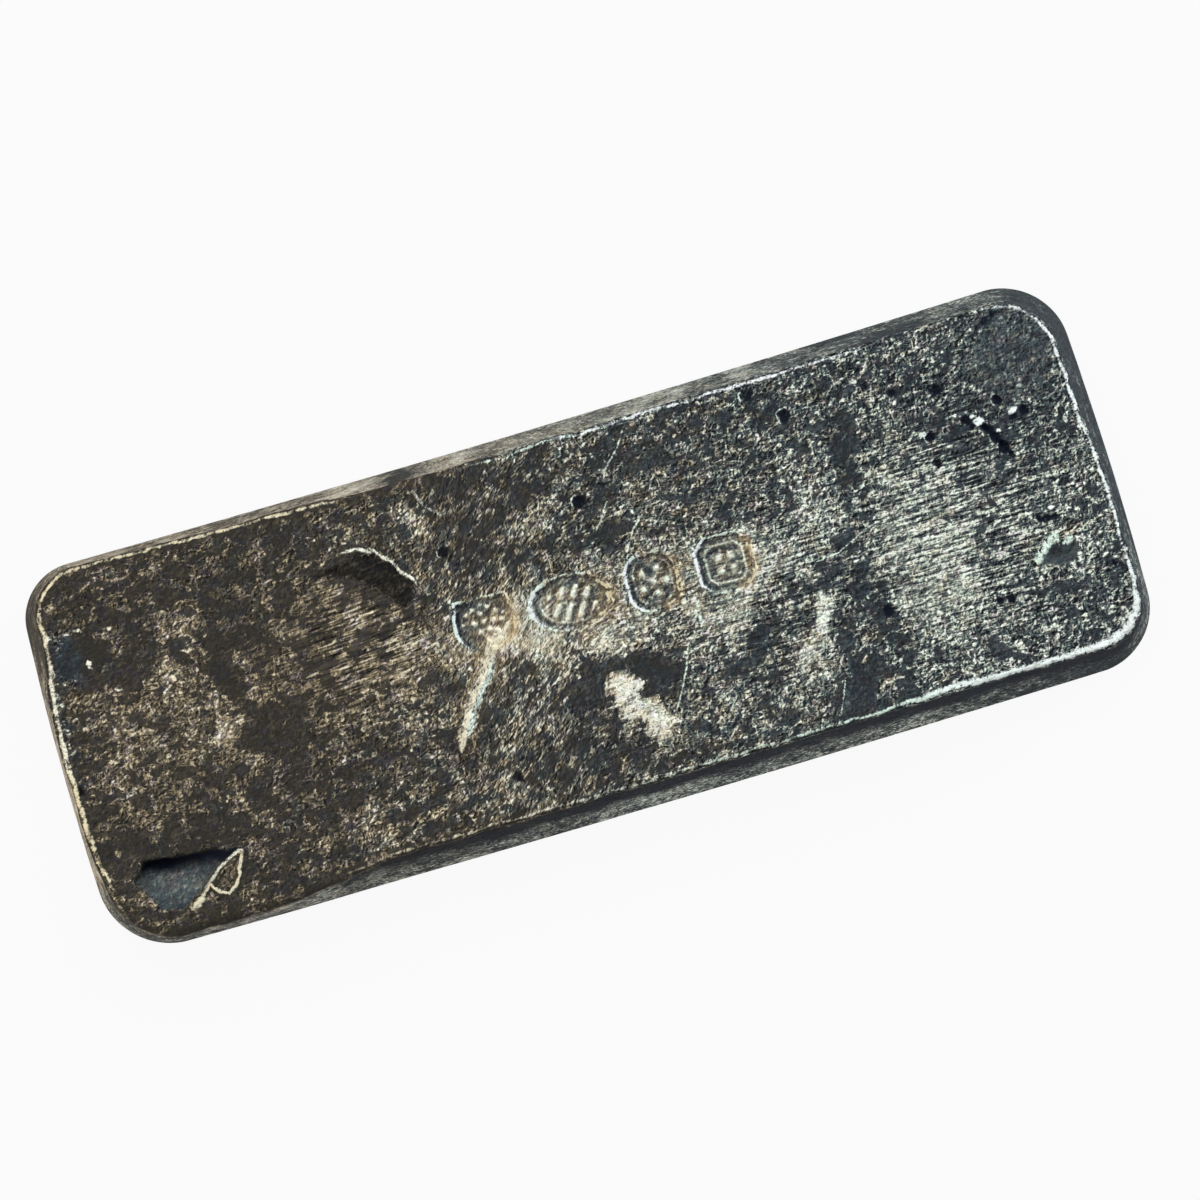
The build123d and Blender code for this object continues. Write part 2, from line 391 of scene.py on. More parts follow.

# %% [markdown]
# ## Gas holes and scratches
#
# Smaller bubbles left a cluster of torn pits near the right end, and many pinpricks. Each hole is a
# small bowl, and a few have a raised rim where the bubble burst. The pits stand where the photo has
# them. The pinpricks are scattered by a seeded random draw, so that every run gives the same bar.
# Later knocks left scratches. The bright specks at the torn edges of the pits are worn silver and painted
# highlight.

# %% Places of the holes and scratches
holes = [
    # x, y, radius, depth, height of the rim
    (30.1, 5.6, 0.40, 0.25, 0.03), (30.4, 5.0, 0.25, 0.20, 0.0), (31.8, 3.9, 0.45, 0.30, 0.04),
    (32.25, 3.0, 0.50, 0.40, 0.03), (31.5, 4.5, 0.35, 0.25, 0.03), (32.7, 6.4, 0.40, 0.30, 0.05),
    (34.35, 5.2, 0.38, 0.28, 0.03), (27.3, 5.2, 0.40, 0.25, 0.05), (27.3, 3.25, 0.35, 0.25, 0.03),
    (25.9, 12.6, 0.30, 0.20, 0.03), (25.6, 9.0, 0.30, 0.20, 0.02), (28.4, 6.2, 0.20, 0.15, 0.0),
    (35.9, 8.1, 0.22, 0.18, 0.0), (33.3, 12.1, 0.30, 0.20, 0.04), (34.0, 12.4, 0.25, 0.15, 0.03),
    (1.95, 7.9, 0.55, 0.22, 0.07), (17.7, 9.6, 0.50, 0.22, 0.06), (15.5, 11.8, 0.55, 0.12, 0.08),
    (-8.5, 7.2, 0.38, 0.16, 0.05), (-7.9, -9.8, 0.45, 0.14, 0.04), (29.6, -7.6, 0.40, 0.25, 0.03),
    (28.8, -7.5, 0.30, 0.18, 0.02), (37.5, -7.2, 0.30, 0.22, 0.03), (33.6, -2.7, 0.35, 0.25, 0.02),
    (34.2, -2.75, 0.30, 0.22, 0.02), (33.1, -2.6, 0.25, 0.18, 0.0), (20.9, -5.9, 0.45, 0.20, 0.04),
    (31.25, 4.8, 0.30, 0.30, 0.03), (32.1, 3.4, 0.26, 0.25, 0.0),
    (32.55, 2.4, 0.26, 0.20, 0.0), (28.6, 8.3, 0.48, 0.28, 0.03), (33.4, 4.95, 0.30, 0.22, 0.0),
    (-38.3, -1.9, 0.35, 0.20, 0.0), (23.9, 10.1, 0.35, 0.20, 0.03), (23.7, 11.3, 0.25, 0.15, 0.0),
    (25.8, 9.9, 0.25, 0.15, 0.0),
]
PINPRICKS = 150
for _ in range(PINPRICKS):
    spot_x = 38 - 50 * draw.random() ** 1.6
    spot_y = draw.uniform(-12.5, 12.5)
    size = draw.uniform(0.10, 0.22)
    holes.append((spot_x, spot_y, size, size * draw.uniform(0.4, 0.9), 0.0))
specks = [
    # place, half size, turn
    ((30.95, 5.3), (0.42, 0.36), -25),
    ((30.5, 5.8), (0.20, 0.12), 30),
    ((33.55, 5.4), (0.38, 0.22), 25),
    ((32.15, 4.25), (0.20, 0.14), -40),
    ((26.9, 5.5), (0.30, 0.16), 20),
    ((-35.1, 6.8), (0.20, 0.34), 10),
    ((-37.4, 9.2), (0.18, 0.22), 0),
    ((-35.3, 9.2), (0.24, 0.14), -30),
    ((-37.9, 4.4), (0.22, 0.14), 0),
    ((-33.6, 4.3), (0.26, 0.12), -30),
    ((-33.0, 8.7), (0.20, 0.16), 0),
]
scratches = [
    # points, width
    ([(6.4, 12.1), (5.6, 10.9), (4.3, 9.6), (3.8, 8.6)], 0.16),
    ([(6.2, 6.0), (5.0, 4.9), (4.2, 3.6), (3.9, 2.6)], 0.18),
    ([(6.6, -3.7), (5.9, -5.6), (5.2, -7.0), (4.0, -9.0)], 0.16),
    ([(16.7, -4.6), (15.9, -7.2), (15.0, -9.6)], 0.12),
    ([(16.7, -9.4), (15.9, -11.3), (15.1, -13.0)], 0.12),
    ([(23.2, 0.7), (21.0, 0.2), (18.6, -0.9), (16.5, -1.1)], 0.14),
    ([(21.2, 2.6), (22.0, 3.6)], 0.2),
    ([(3.9, 7.6), (3.0, 6.2), (2.3, 5.4)], 0.12),
    ([(-4.2, -6.0), (-4.9, -8.6)], 0.1),
    ([(9.4, -8.0), (6.2, -11.5)], 0.1),
    ([(7.95, -1.2), (7.8, -2.9)], 0.3),
    ([(-37.7, 9.2), (-37.85, 7.6), (-37.7, 6.2)], 0.22),
]


def hole_height(x, y):
    """Height of every hole, with its rim. Each hole only works on the points near it."""
    height = np.zeros(x.shape)
    for spot_x, spot_y, radius, depth, rim in holes:
        near = np.flatnonzero((abs(x - spot_x) < 2 * radius) & (abs(y - spot_y) < 2 * radius))
        dx, dy = x[near] - spot_x, y[near] - spot_y
        bend = 1 + 0.18 * np.sin(3 * np.arctan2(dy, dx) + spot_x) + 0.1 * np.sin(5 * np.arctan2(dy, dx))
        gap = np.hypot(dx, dy) / radius / bend
        bowl = -depth * (1 - smooth(0.35, 1.0, gap))
        height[near] += bowl + rim * bell(gap - 1.15, 0.22)
    return height


print("holes", len(holes), "scratches", len(scratches), "bright specks", len(specks))

# %% [markdown]
# ## The struck marks
#
# Real bars carry small marks, each struck with its own punch. Here the punches keep their outlines
# and their wear, and hold only plain shapes that say nothing: beads, slanting ribs, petals round a
# boss, and four petals in a square. A punch pushes metal aside, so each recess has a sloping wall and
# a soft rim, and the field inside it lies a little below the face.

# %% Outlines of the punches
def shield_gap(x, y):
    """Distance inside the shield punch."""
    half, top, shoulder, point = 2.15, 1.85, -0.1, -2.05
    lower = half * np.sqrt(np.clip(1 - ((shoulder - y) / (shoulder - point)) ** 2, 0, 1)) ** 1.15
    reach = np.where(y > shoulder, half - 0.3 * smooth(0.4, 1.9, y), lower)
    return np.minimum(np.minimum(reach - abs(x), top - y), (y - point) * 0.8)


def oval_gap(x, y):
    """Distance inside the oval punch."""
    return (1 - np.hypot(x / 2.95, y / 1.95)) * 1.95


def rounded_gap(x, y):
    """Distance inside the rounded punch, a square with very round corners."""
    half_x, half_y, radius = 1.85, 2.0, 1.35
    far_x, far_y = abs(x) - half_x + radius, abs(y) - half_y + radius
    outside = np.hypot(np.maximum(far_x, 0), np.maximum(far_y, 0))
    return radius - outside - np.minimum(np.maximum(far_x, far_y), 0)


def square_gap(x, y):
    """Distance inside the square punch with cut corners."""
    half, cut = 2.0, 0.85
    corner = (2 * half - cut - abs(x) - abs(y)) / np.sqrt(2)
    return np.minimum(np.minimum(half - abs(x), half - abs(y)), corner)


# %% What each punch leaves inside its outline
def shield_field(x, y):
    """A cluster of plain beads."""
    beads = [
        (-1.2, 0.9), (-0.7, 1.2), (-0.2, 0.8), (0.4, 1.2), (0.9, 0.8), (-0.8, 0.2), (-0.1, 0.2),
        (0.6, 0.2), (1.2, 0.1), (-0.5, -0.5), (0.2, -0.4), (0.7, -0.6), (0.0, -1.1), (0.4, -1.3),
    ]
    return sum(bell(np.hypot(x - bx, y - by), 0.23) for bx, by in beads)


def oval_field(x, y):
    """Slanting ribs inside a thin inner rim."""
    ribs = np.cos(2 * np.pi * (x - 0.45 * y) / 0.95) * 0.5 + 0.5
    within = smooth(0.1, 0.5, oval_gap(x, y) - 0.35)
    breaks = 1 - bell(y - 0.1 + 0.1 * x, 0.18)
    return ribs * within * (0.4 + 0.6 * breaks) + bell(oval_gap(x, y) - 0.42, 0.12)


def rounded_field(x, y):
    """A worn boss with petals round it."""
    radius, angle = np.hypot(x, y), np.arctan2(y, x)
    petals = (np.cos(5 * angle + 0.6) * 0.5 + 0.5) * bell(radius - 0.95, 0.32)
    return petals + 0.9 * bell(radius, 0.38) + 0.8 * bell(rounded_gap(x, y) - 0.45, 0.12)


def square_field(x, y):
    """A smaller square rim round four worn petals."""
    frame_rim = bell(square_gap(x, y) - 0.62, 0.13)
    petals = bell(np.hypot(abs(x) - 0.46, abs(y) - 0.46), 0.36)
    return 0.74 * frame_rim + 0.9 * petals


# %% The row of marks
mark_row_fall = np.radians(2.2)
mark_row_y = 1.15
rim_rise = 0.05
field_drop = 0.27
relief_rise = 0.15
punches = [
    # x of the middle, turn in degrees, half width, outline, field
    (-7.05, 0, 2.15, shield_gap, shield_field),
    (-0.7, -3, 2.95, oval_gap, oval_field),
    (5.35, 0, 1.85, rounded_gap, rounded_field),
    (10.7, 0, 2.0, square_gap, square_field),
]


def near_mark(x, y, place):
    """Which points lie near one punch."""
    return (abs(x - place) < 4) & (abs(y - mark_row_y) < 3.5)


def mark_coordinates(x, y, place, turn):
    """The same points measured from the middle of one punch, along and across its row."""
    angle = np.radians(turn) - mark_row_fall
    dx, dy = x - place, y - mark_row_y + place * np.tan(mark_row_fall)
    return dx * np.cos(angle) + dy * np.sin(angle), dy * np.cos(angle) - dx * np.sin(angle)


def mark_height(x, y):
    """Height of the marks: rim, wall, field and what stands on the field."""
    height = np.zeros(x.shape)
    for place, turn, _, gap_of, field_of in punches:
        near = np.flatnonzero(near_mark(x, y, place))
        mx, my = mark_coordinates(x[near], y[near], place, turn)
        gap = gap_of(mx, my)
        wall = smooth(-0.05, 0.30, gap)
        rim = bell(gap + 0.12, 0.16)
        height[near] += rim_rise * rim - field_drop * wall + relief_rise * wall * field_of(mx, my)
    return height


probe_x, probe_y = np.array([-7.05, -0.7, 5.35, 10.7]), np.array([0.9, 0.6, 0.9, 0.7])
print("height in the four marks", mark_height(probe_x, probe_y).round(2), "mm")

# %% [markdown]
# ## The skin
#
# Nothing on a bar like this is flat. The face swells and sinks a little over its whole length, and
# on top of that lie the small lumps of metal that froze against rough iron. The edge of the face is
# a low bead. `face_height` adds everything up.

# %% Height of the whole face
def skin(points):
    """Small lumps left by the mould, at three sizes."""
    broad = 0.045 * noise(points, 9.0, 1)
    lumps = 0.030 * noise(points, 2.6, 2) + 0.022 * noise(points, 1.1, 3) + 0.014 * noise(points, 0.6, 4)
    return broad + lumps


def face_height(x, y):
    """Height of the struck face above or below its mean level."""
    points = np.stack([x, y, np.full(x.shape, thickness)], 1)
    gap = edge_gap(x, y)
    calm = smooth(0.1, 1.2, gap)
    bead = 0.05 * bell(gap - 0.35, 0.22)
    cuts = sum(0.02 * stroke(x, y, line, width) for line, width in scratches)
    height = skin(points) * (0.35 + 0.65 * calm) + bead - cuts
    return height + flaws(x, y) + hole_height(x, y) + mark_height(x, y)


print("height in the middle of the face", face_height(np.zeros(1), np.zeros(1)).round(3), "mm")

# %% [markdown]
# ## Points for the face
#
# An even grid fine enough for the marks would need half a million faces. So the height is first
# measured on a fine grid, and a point is kept only where it earns its place: every fourth point
# everywhere, every second where the surface bends, and every one where it bends sharply. A Delaunay
# triangulation then joins the uneven points into well-shaped triangles.

# %% Pick the points
FINE_STEP = 0.085
MIDDLE_POINTS = 16000
FINE_POINTS = 26000
RIM_INSET = 1.0
rim_clearance = 0.12
scratch_reach = 0.13


def face_points():
    """Points inside the face, close together where its height changes quickly."""
    columns = np.arange(-half_length, half_length, FINE_STEP)
    rows = np.arange(-half_width, half_width, FINE_STEP)
    x, y = (grid.ravel() for grid in np.meshgrid(columns, rows))
    height = face_height(x, y).reshape(len(rows), len(columns))
    bend = np.zeros_like(height)
    bend[1:-1, 1:-1] = abs(
        height[:-2, 1:-1] + height[2:, 1:-1] + height[1:-1, :-2] + height[1:-1, 2:] - 4 * height[1:-1, 1:-1]
    )
    for axis in (0, 1):
        bend = (np.roll(bend, 1, axis) + bend + np.roll(bend, -1, axis)) / 3
    bend = bend.ravel()
    row, column = np.divmod(np.arange(x.size), len(columns))
    inner = edge_gap(x, y) > RIM_INSET + rim_clearance
    coarse = inner & (row % 4 == 0) & (column % 4 == 0)
    middle = inner & ~coarse & (row % 2 == 0) & (column % 2 == 0)
    fine = inner & ~coarse & ~middle
    keep = coarse.copy()
    for line, _ in scratches:
        keep |= inner & (line_gap(x, y, line)[0] < scratch_reach)
    for level, wanted in ((middle, MIDDLE_POINTS), (fine, FINE_POINTS)):
        limit = np.sort(bend[level])[-wanted]
        keep |= level & (bend >= limit)
    return x[keep], y[keep]


inner_x, inner_y = face_points()
print("face points", len(inner_x))

# %% [markdown]
# ## The walls and the edges
#
# The walls are a stack of outlines. Near the base they curve in to the lip where the metal froze
# at the open top of the mould. Near the face they curve in over a small round edge, which is wider
# where the bar is more worn. Each outline is pushed in a little by noise, never out, so that the
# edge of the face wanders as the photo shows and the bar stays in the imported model's box.

# %% Stack the outlines
WALL_RINGS = 20
CURVE_RINGS = 5
rim_insets = (0.14, 0.30, 0.48, 0.70)
face_level = thickness - proud_allowance


def edge_radius(points):
    """How round the edge of the face is: wide at the worn front left, tight elsewhere."""
    x, y = points.T
    worn = smooth(-20, -26, x) * smooth(-2, -8, y)
    return 0.30 + 0.55 * worn + 0.06 * noise(np.column_stack([x, y, 0 * x]), 4.0, 6)


def wall_push(place, inset):
    """How far the wandering edge and the rough wall are pushed in at each point."""
    rise = place[:, 2] / thickness
    wobble = 0.18 * noise(place * [1, 1, 0.3], 5.0, 7) + 0.09 * noise(place * [1, 1, 0.5], 1.6, 8)
    rough = 0.06 * noise(place, 2.2, 2) + 0.045 * noise(place, 0.9, 3)
    push = abs(wobble) * smooth(0.5, 1.0, rise) + abs(rough) * smooth(0.0, 0.25, rise)
    return push * (1 - smooth(0, RIM_INSET, inset))


def stack_rings():
    """Rings of points from the flat of the base over the lip, the walls and the edge to the face."""
    curve = np.linspace(0, np.pi / 2, CURVE_RINGS)
    levels = [("lip", angle) for angle in curve]
    levels += [("wall", step) for step in np.linspace(0, 1, WALL_RINGS + 2)[1:]]
    levels += [("edge", angle) for angle in curve[1:]]
    levels += [("rim", inset) for inset in rim_insets]
    rings, gaps = [], []
    lip_share = lip_radius / thickness
    for kind, step in levels:
        share = {"lip": lip_share, "wall": lip_share + (1 - lip_share) * step, "edge": 1, "rim": 1}[kind]
        points, out = outline(share)
        radius = edge_radius(points)
        drawn_in = np.zeros(len(points))
        if kind == "lip":
            drawn_in += lip_radius * (1 - np.sin(step))
            height = np.full(len(points), lip_radius * (1 - np.cos(step)))
        elif kind == "wall":
            height = lip_radius + (face_level - radius - lip_radius) * step
        elif kind == "edge":
            drawn_in += radius * (1 - np.cos(step))
            height = face_level - radius * (1 - np.sin(step))
        else:
            drawn_in += radius + step
            height = np.full(len(points), face_level)
        place = np.column_stack([points, height])
        inset = drawn_in if kind in ("edge", "rim") else 0 * drawn_in
        place[:, :2] -= out * (drawn_in + wall_push(place, inset))[:, None]
        if kind in ("edge", "rim"):
            lift = np.sin(step) if kind == "edge" else 1
            place[:, 2] += face_height(place[:, 0], place[:, 1]) * lift**2
        rings.append(place)
        gaps.append(inset if kind in ("edge", "rim") else height - face_level + radius)
    return np.array(rings), np.array(gaps), [kind for kind, _ in levels]


rings, ring_gaps, ring_kinds = stack_rings()
around = rings.shape[1]
print("rings", len(rings), "with", around, "points each")

# %% [markdown]
# ## The base
#
# The base was the open top of the mould. The metal there shrank as it froze, so it is a very shallow
# dish inside the lip that the bar stands on. The photo doesn't show it, so it is kept plain.

# %% Points for the base
BASE_STEP = 0.8
dish_depth = 0.25


def base_points():
    """Points of the base inside the lip."""
    columns = np.arange(-half_length, half_length, BASE_STEP)
    rows = np.arange(-half_width, half_width, BASE_STEP)
    x, y = (grid.ravel() for grid in np.meshgrid(columns, rows))
    inner = edge_gap(x, y, 0.0) > lip_radius + 0.5
    x, y = x[inner], y[inner]
    points = np.column_stack([x, y, 0 * x])
    dish = dish_depth * smooth(0.9, 6.0, edge_gap(x, y, 0.0))
    points[:, 2] = np.maximum(dish * (1 + 0.25 * noise(points, 7.0, 9)) + 0.03 * noise(points, 2.0, 3), 0)
    return points


inner_base = base_points()
print("base points", len(inner_base))

# %% [markdown]
# ## One closed mesh
#
# Bands of four-sided faces join the rings, and two triangulations close the top and the bottom. The
# triangulation keeps the ring's own points as its border, so that all the parts share their points
# and the mesh has no gap.

# %% Join everything into one mesh
def fill(border, inner):
    """Triangles between a ring of points and the points inside it, as numbers into both, ring first."""
    points = [Vector(point) for point in np.concatenate([border, inner])[:, :2].tolist()]
    ring = [(k, (k + 1) % len(border)) for k in range(len(border))]
    made, _, faces, sources, _, _ = delaunay_2d_cdt(points, ring, [], 1, 1e-9)
    assert len(made) == len(points)
    names = np.array([source[0] for source in sources])
    return names[np.array(faces)]


def band_faces(count):
    """Four-sided faces between each ring and the next one up."""
    here = np.arange(around)
    ahead = (here + 1) % around
    band = np.column_stack([here, ahead, ahead + around, here + around])
    return np.concatenate([band + k * around for k in range(count - 1)])


inner_top = np.column_stack([inner_x, inner_y, face_level + face_height(inner_x, inner_y)])
top_start = rings.shape[0] * around
base_start = top_start + len(inner_top)
vertices = np.concatenate([rings.reshape(-1, 3), inner_top, inner_base])

top_faces = fill(rings[-1], inner_top)
last_ring = top_start - around
top_faces = np.where(top_faces < around, top_faces + last_ring, top_faces - around + top_start)
base_faces = fill(rings[0], inner_base)
base_faces = np.where(base_faces < around, base_faces, base_faces - around + base_start)[:, ::-1]
quads = band_faces(len(rings))
vertices[:, 2] = np.clip(vertices[:, 2], 0, thickness)
triangles = 2 * len(quads) + len(top_faces) + len(base_faces)
print("vertices", len(vertices), "triangles", triangles)

mesh = bpy.data.meshes.new("cast_bar")
mesh.from_pydata((vertices * MM).tolist(), [], quads.tolist() + top_faces.tolist() + base_faces.tolist())
mesh.shade_smooth()
bar = bpy.data.objects.new("cast_bar", mesh)
bpy.context.scene.collection.objects.link(bar)
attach(bar, "root")
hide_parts("ingot")

# %% [markdown]
# ## Where the bar is rubbed
#
# Tarnish isn't the same all over. Where hands and other bars rub, silver shows through as tan and
# cream flecks, and hollows stay black. These differences belong to places, so they are worked out
# here for each point of the mesh and handed to the material as named layers, while the flecks
# themselves come from the material. One layer says how much each place was rubbed; on the humps and
# on the floor of the void it also lifts the tone as painted highlight and sheen. `grime` marks the
# flat dark patches that nothing ever rubbed. The amounts were read off the photo area by area, and
# noise makes the borders of the areas ragged.

# %% Rubbed and grimy places
rubbed_and_lit = [
    # place, half size, turn, change
    ((-31.0, -0.5), (6.5, 5.5), 0, 0.17),
    ((-28.3, 8.0), (1.9, 2.0), 20, 0.35),
    ((-25.0, 7.0), (2.0, 2.4), 0, -0.25),
    ((-34.0, 9.8), (5.0, 3.0), 0, -0.04),
    ((-35.3, 7.3), (1.9, 1.4), 0, -0.35),
    ((-33.0, 5.6), (3.0, 0.9), 15, -0.10),
    ((-38.0, -6.0), (1.6, 3.5), 10, -0.12),
    ((-33.0, -7.0), (5.0, 0.9), -5, -0.17),
    ((-28.5, -5.4), (2.6, 2.8), 0, -0.18),
    ((-22.5, -10.2), (5.0, 2.0), 0, -0.14),
    ((-18.6, -10.6), (1.5, 2.0), 20, 0.44),
    ((-24.4, -1.3), (1.7, 1.4), 10, -0.26),
    ((-22.5, 1.8), (2.6, 1.5), 0, 0.14),
    ((-27.2, -0.6), (0.9, 1.0), 0, 0.60),
    ((-26.0, 3.4), (0.7, 1.6), 25, -0.40),
    ((-29.8, 4.5), (0.8, 3.0), 5, 0.25),
    ((-16.5, 1.5), (4.5, 4.5), 10, 0.20),
    ((-16.0, 5.3), (2.6, 0.6), -52, 0.36),
    ((-13.0, -2.2), (3.0, 3.2), 20, 0.18),
    ((-12.6, 2.4), (1.2, 1.6), 0, 0.25),
    ((-20.5, -5.5), (4.5, 1.8), 10, -0.10),
    ((-23.0, 10.5), (6.0, 2.4), 0, -0.09),
    ((-10.4, 9.9), (1.5, 0.6), -70, 0.45),
    ((-11.6, 3.9), (0.8, 0.9), 0, -0.20),
    ((-1.7, 7.6), (2.4, 0.9), 15, 0.45),
    ((-3.6, 9.8), (4.6, 2.4), 0, -0.13),
    ((5.0, 10.8), (4.0, 1.6), 0, 0.09),
    ((2.0, 0.4), (12.5, 3.0), -2, 0.76),
    ((-5.0, 0.6), (4.5, 2.0), 0, 0.30),
    ((11.5, -0.6), (2.6, 2.6), 0, 0.30),
    ((-4.0, -1.6), (2.4, 1.0), -30, 0.35),
    ((0.4, -2.0), (1.4, 0.9), 40, 0.40),
    ((-2.4, -3.8), (2.2, 1.1), -20, 0.40),
    ((-6.0, -6.0), (2.6, 1.6), 40, 0.20),
    ((-9.5, -9.0), (2.2, 2.2), 30, 0.30),
    ((2.5, -3.0), (2.2, 0.8), -10, 0.35),
    ((7.8, -4.3), (3.6, 1.4), 8, 0.50),
    ((3.7, -5.5), (1.9, 0.8), -15, -0.50),
    ((-0.4, -4.4), (1.4, 0.8), 20, -0.35),
    ((-2.0, -10.0), (4.5, 1.2), 5, -0.08),
    ((6.5, -9.5), (3.6, 2.0), 15, 0.24),
    ((11.8, -5.2), (2.2, 1.6), 0, -0.16),
    ((10.7, -3.2), (2.2, 0.5), 55, 0.50),
    ((8.0, -2.1), (0.5, 1.1), 0, 0.50),
    ((5.5, 7.4), (2.0, 1.4), 0, 0.14),
    ((0.5, 5.6), (3.0, 1.0), 0, -0.12),
    ((3.2, 4.6), (2.2, 1.5), 0, -0.24),
    ((-5.5, 5.6), (3.0, 1.0), -10, -0.20),
    ((15.5, 0.6), (3.4, 1.7), 25, 0.20),
    ((18.2, 4.6), (2.0, 3.4), 0, 0.38),
    ((18.5, 0.8), (1.6, 2.4), 0, 0.25),
    ((13.2, 2.2), (1.8, 1.0), 0, 0.25),
    ((1.0, 4.6), (12.0, 1.8), -2, 0.18),
    ((14.5, -6.8), (3.4, 2.0), 50, 0.20),
    ((20.9, 6.0), (0.9, 5.5), -4, -0.15),
    ((20.4, -5.0), (1.3, 5.5), 12, -0.16),
    ((17.5, -10.6), (2.4, 1.1), 50, -0.30),
    ((24.8, -1.5), (3.6, 6.5), 0, 0.44),
    ((34.5, -4.5), (2.6, 3.0), 0, 0.20),
    ((26.0, -7.5), (5.0, 2.4), 0, 0.10),
    ((34.5, -2.0), (3.5, 6.0), 0, 0.15),
    ((34.5, 8.0), (4.0, 5.0), 0, -0.24),
    ((27.6, 10.6), (4.4, 1.9), 0, 0.12),
    ((31.0, -11.4), (7.0, 1.4), 0, 0.25),
    ((26.2, 4.9), (4.6, 2.2), 0, -0.42),
    ((31.0, -3.4), (2.0, 2.8), 0, 0.15),
    ((14.4, -10.6), (2.2, 1.6), 0, 0.16),
    ((19.4, -8.8), (1.6, 2.4), 0, 0.16),
    # On the humps the brightest patches are worn silver and painted highlight.
    ((0.4, -5.9), (1.3, 0.7), -50, 1.1),
    ((1.8, -7.2), (2.1, 1.0), -55, 2.1),
    ((2.8, -8.8), (1.4, 0.8), -65, 0.9),
    ((16.3, -4.8), (1.4, 0.7), 62, 1.5),
    ((14.6, -7.3), (1.7, 1.0), 50, 1.1),
    ((15.8, -8.6), (1.5, 0.6), 62, 0.7),
]
grimy = [
    # place, half size, turn, how much
    ((-24.2, -1.6), (2.2, 1.8), 10, 0.26),
    ((-25.8, 3.2), (0.9, 2.0), 25, 0.30),
    ((-35.5, 7.3), (2.2, 1.6), 0, 0.30),
    ((-32.6, 5.5), (2.6, 0.9), 15, 0.22),
    ((-33.0, -7.0), (4.5, 1.0), -5, 0.15),
    ((-38.0, -6.0), (1.6, 3.4), 10, 0.10),
    ((3.7, -5.5), (2.4, 1.4), -15, 0.36),
    ((-0.4, -4.4), (2.0, 1.2), 20, 0.32),
    ((-2.0, -10.4), (4.5, 1.4), 5, 0.06),
    ((17.5, -10.6), (2.6, 1.4), 50, 0.30),
    ((20.4, -5.0), (1.4, 5.5), 12, 0.09),
    ((20.9, 6.0), (0.9, 5.5), -4, 0.04),
    ((6.5, 10.0), (3.0, 1.6), 0, 0.12),
    ((29.0, -11.2), (1.6, 1.2), 0, 0.20),
    ((-14.2, 6.6), (2.6, 1.3), -45, 0.30),
    ((31.0, 10.6), (2.4, 1.4), 0, 0.10),
]
walls_rubbed = [
    # place, half size, turn, change
    ((6.0, 14.0), (14.0, 3.0), 0, 0.80),
    ((-13.5, 14.0), (2.2, 3.0), 0, 0.85),
    ((-7.0, 14.0), (1.9, 3.0), 0, 0.60),
    ((-10.0, 14.0), (1.1, 3.0), 0, -0.30),
    ((-27.0, 14.0), (12.0, 3.0), 0, 0.70),
    ((13.2, 14.0), (1.4, 3.0), 0, -0.60),
    ((32.5, 14.0), (2.0, 3.0), 0, 0.50),
    ((39.0, 12.0), (3.0, 4.0), 0, -0.25),
    ((-40.0, -2.0), (3.0, 8.5), 0, 1.00),
    ((-40.0, 10.5), (4.0, 4.0), 0, -0.20),
    ((40.0, 2.0), (3.0, 9.0), 0, -0.30),
    ((-4.0, -14.0), (33.0, 3.0), 0, 0.50),
    ((39.0, -10.5), (4.0, 4.0), 0, 0.10),
]


def layer_of(shapes, x, y, soft=0.45):
    """The sum of many soft patches."""
    return sum(change * patch(x, y, place, size, turn, soft) for place, size, turn, change in shapes)


def ragged(values, seeds):
    """The x or the y of every point, nudged by noise at three sizes."""
    for (amount, cell), seed in zip(((0.9, 2.4), (0.5, 0.9), (0.3, 0.45)), seeds):
        values = values + amount * noise(vertices, cell, seed)
    return values


# %% The layers rub and grime; rub also carries painted highlight and sheen
face_rub = 0.40
mean_wall_rub = 0.22
wall_noise = ((0.45, 2.8, 14), (0.50, 1.3, 15), (0.25, 0.6, 19))

gap = np.concatenate([ring_gaps.ravel(), edge_gap(inner_x, inner_y), np.full(len(inner_base), -99.0)])
x, y, z = vertices.T
on_face = smooth(-0.15, 0.1, gap)
on_base = smooth(0.5, 0.0, z)
on_wall = gap < -0.2
ragged_x = ragged(x, (21, 22, 28))
ragged_y = ragged(y, (23, 24, 29))
mottle = 0.16 * noise(vertices, 4.0, 12) + 0.16 * noise(vertices, 1.7, 13)
rub_and_sheen = face_rub + layer_of(rubbed_and_lit, ragged_x, ragged_y) + mottle
plateau = smooth(21.5, 22.1, x + 0.3 * noise(vertices, 1.5, 27)) * smooth(35, 25, x)
rub_and_sheen += 0.5 * stroke(x, y, ridge_line, 1.9, 0.25)
rub_and_sheen += 0.32 * plateau * smooth(10, 5, ragged_y) * smooth(-12, -8, ragged_y)
grime = layer_of(grimy, ragged_x, ragged_y) * on_face
wall_rub = mean_wall_rub + layer_of(walls_rubbed, ragged_x, y)
for amount, cell, seed in wall_noise:
    wall_rub += amount * noise(vertices * [1, 1, 0.4], cell, seed)
print("rubbed: face", rub_and_sheen[~on_wall].mean().round(2), "walls", wall_rub[on_wall].mean().round(2))

# %% [markdown]
# ## Bare metal and painted highlights
#
# Some of the silver is quite bare: the edge of the face, the crests of the flaws, the scratches and
# the rims of the marks. The bright edge of the face and the rims of the marks are also painted
# highlights. These are lines, each with its own strength, and where two of them meet the stronger
# one wins. No real edge is worn evenly, so noise makes the lines waver and breaks them up.

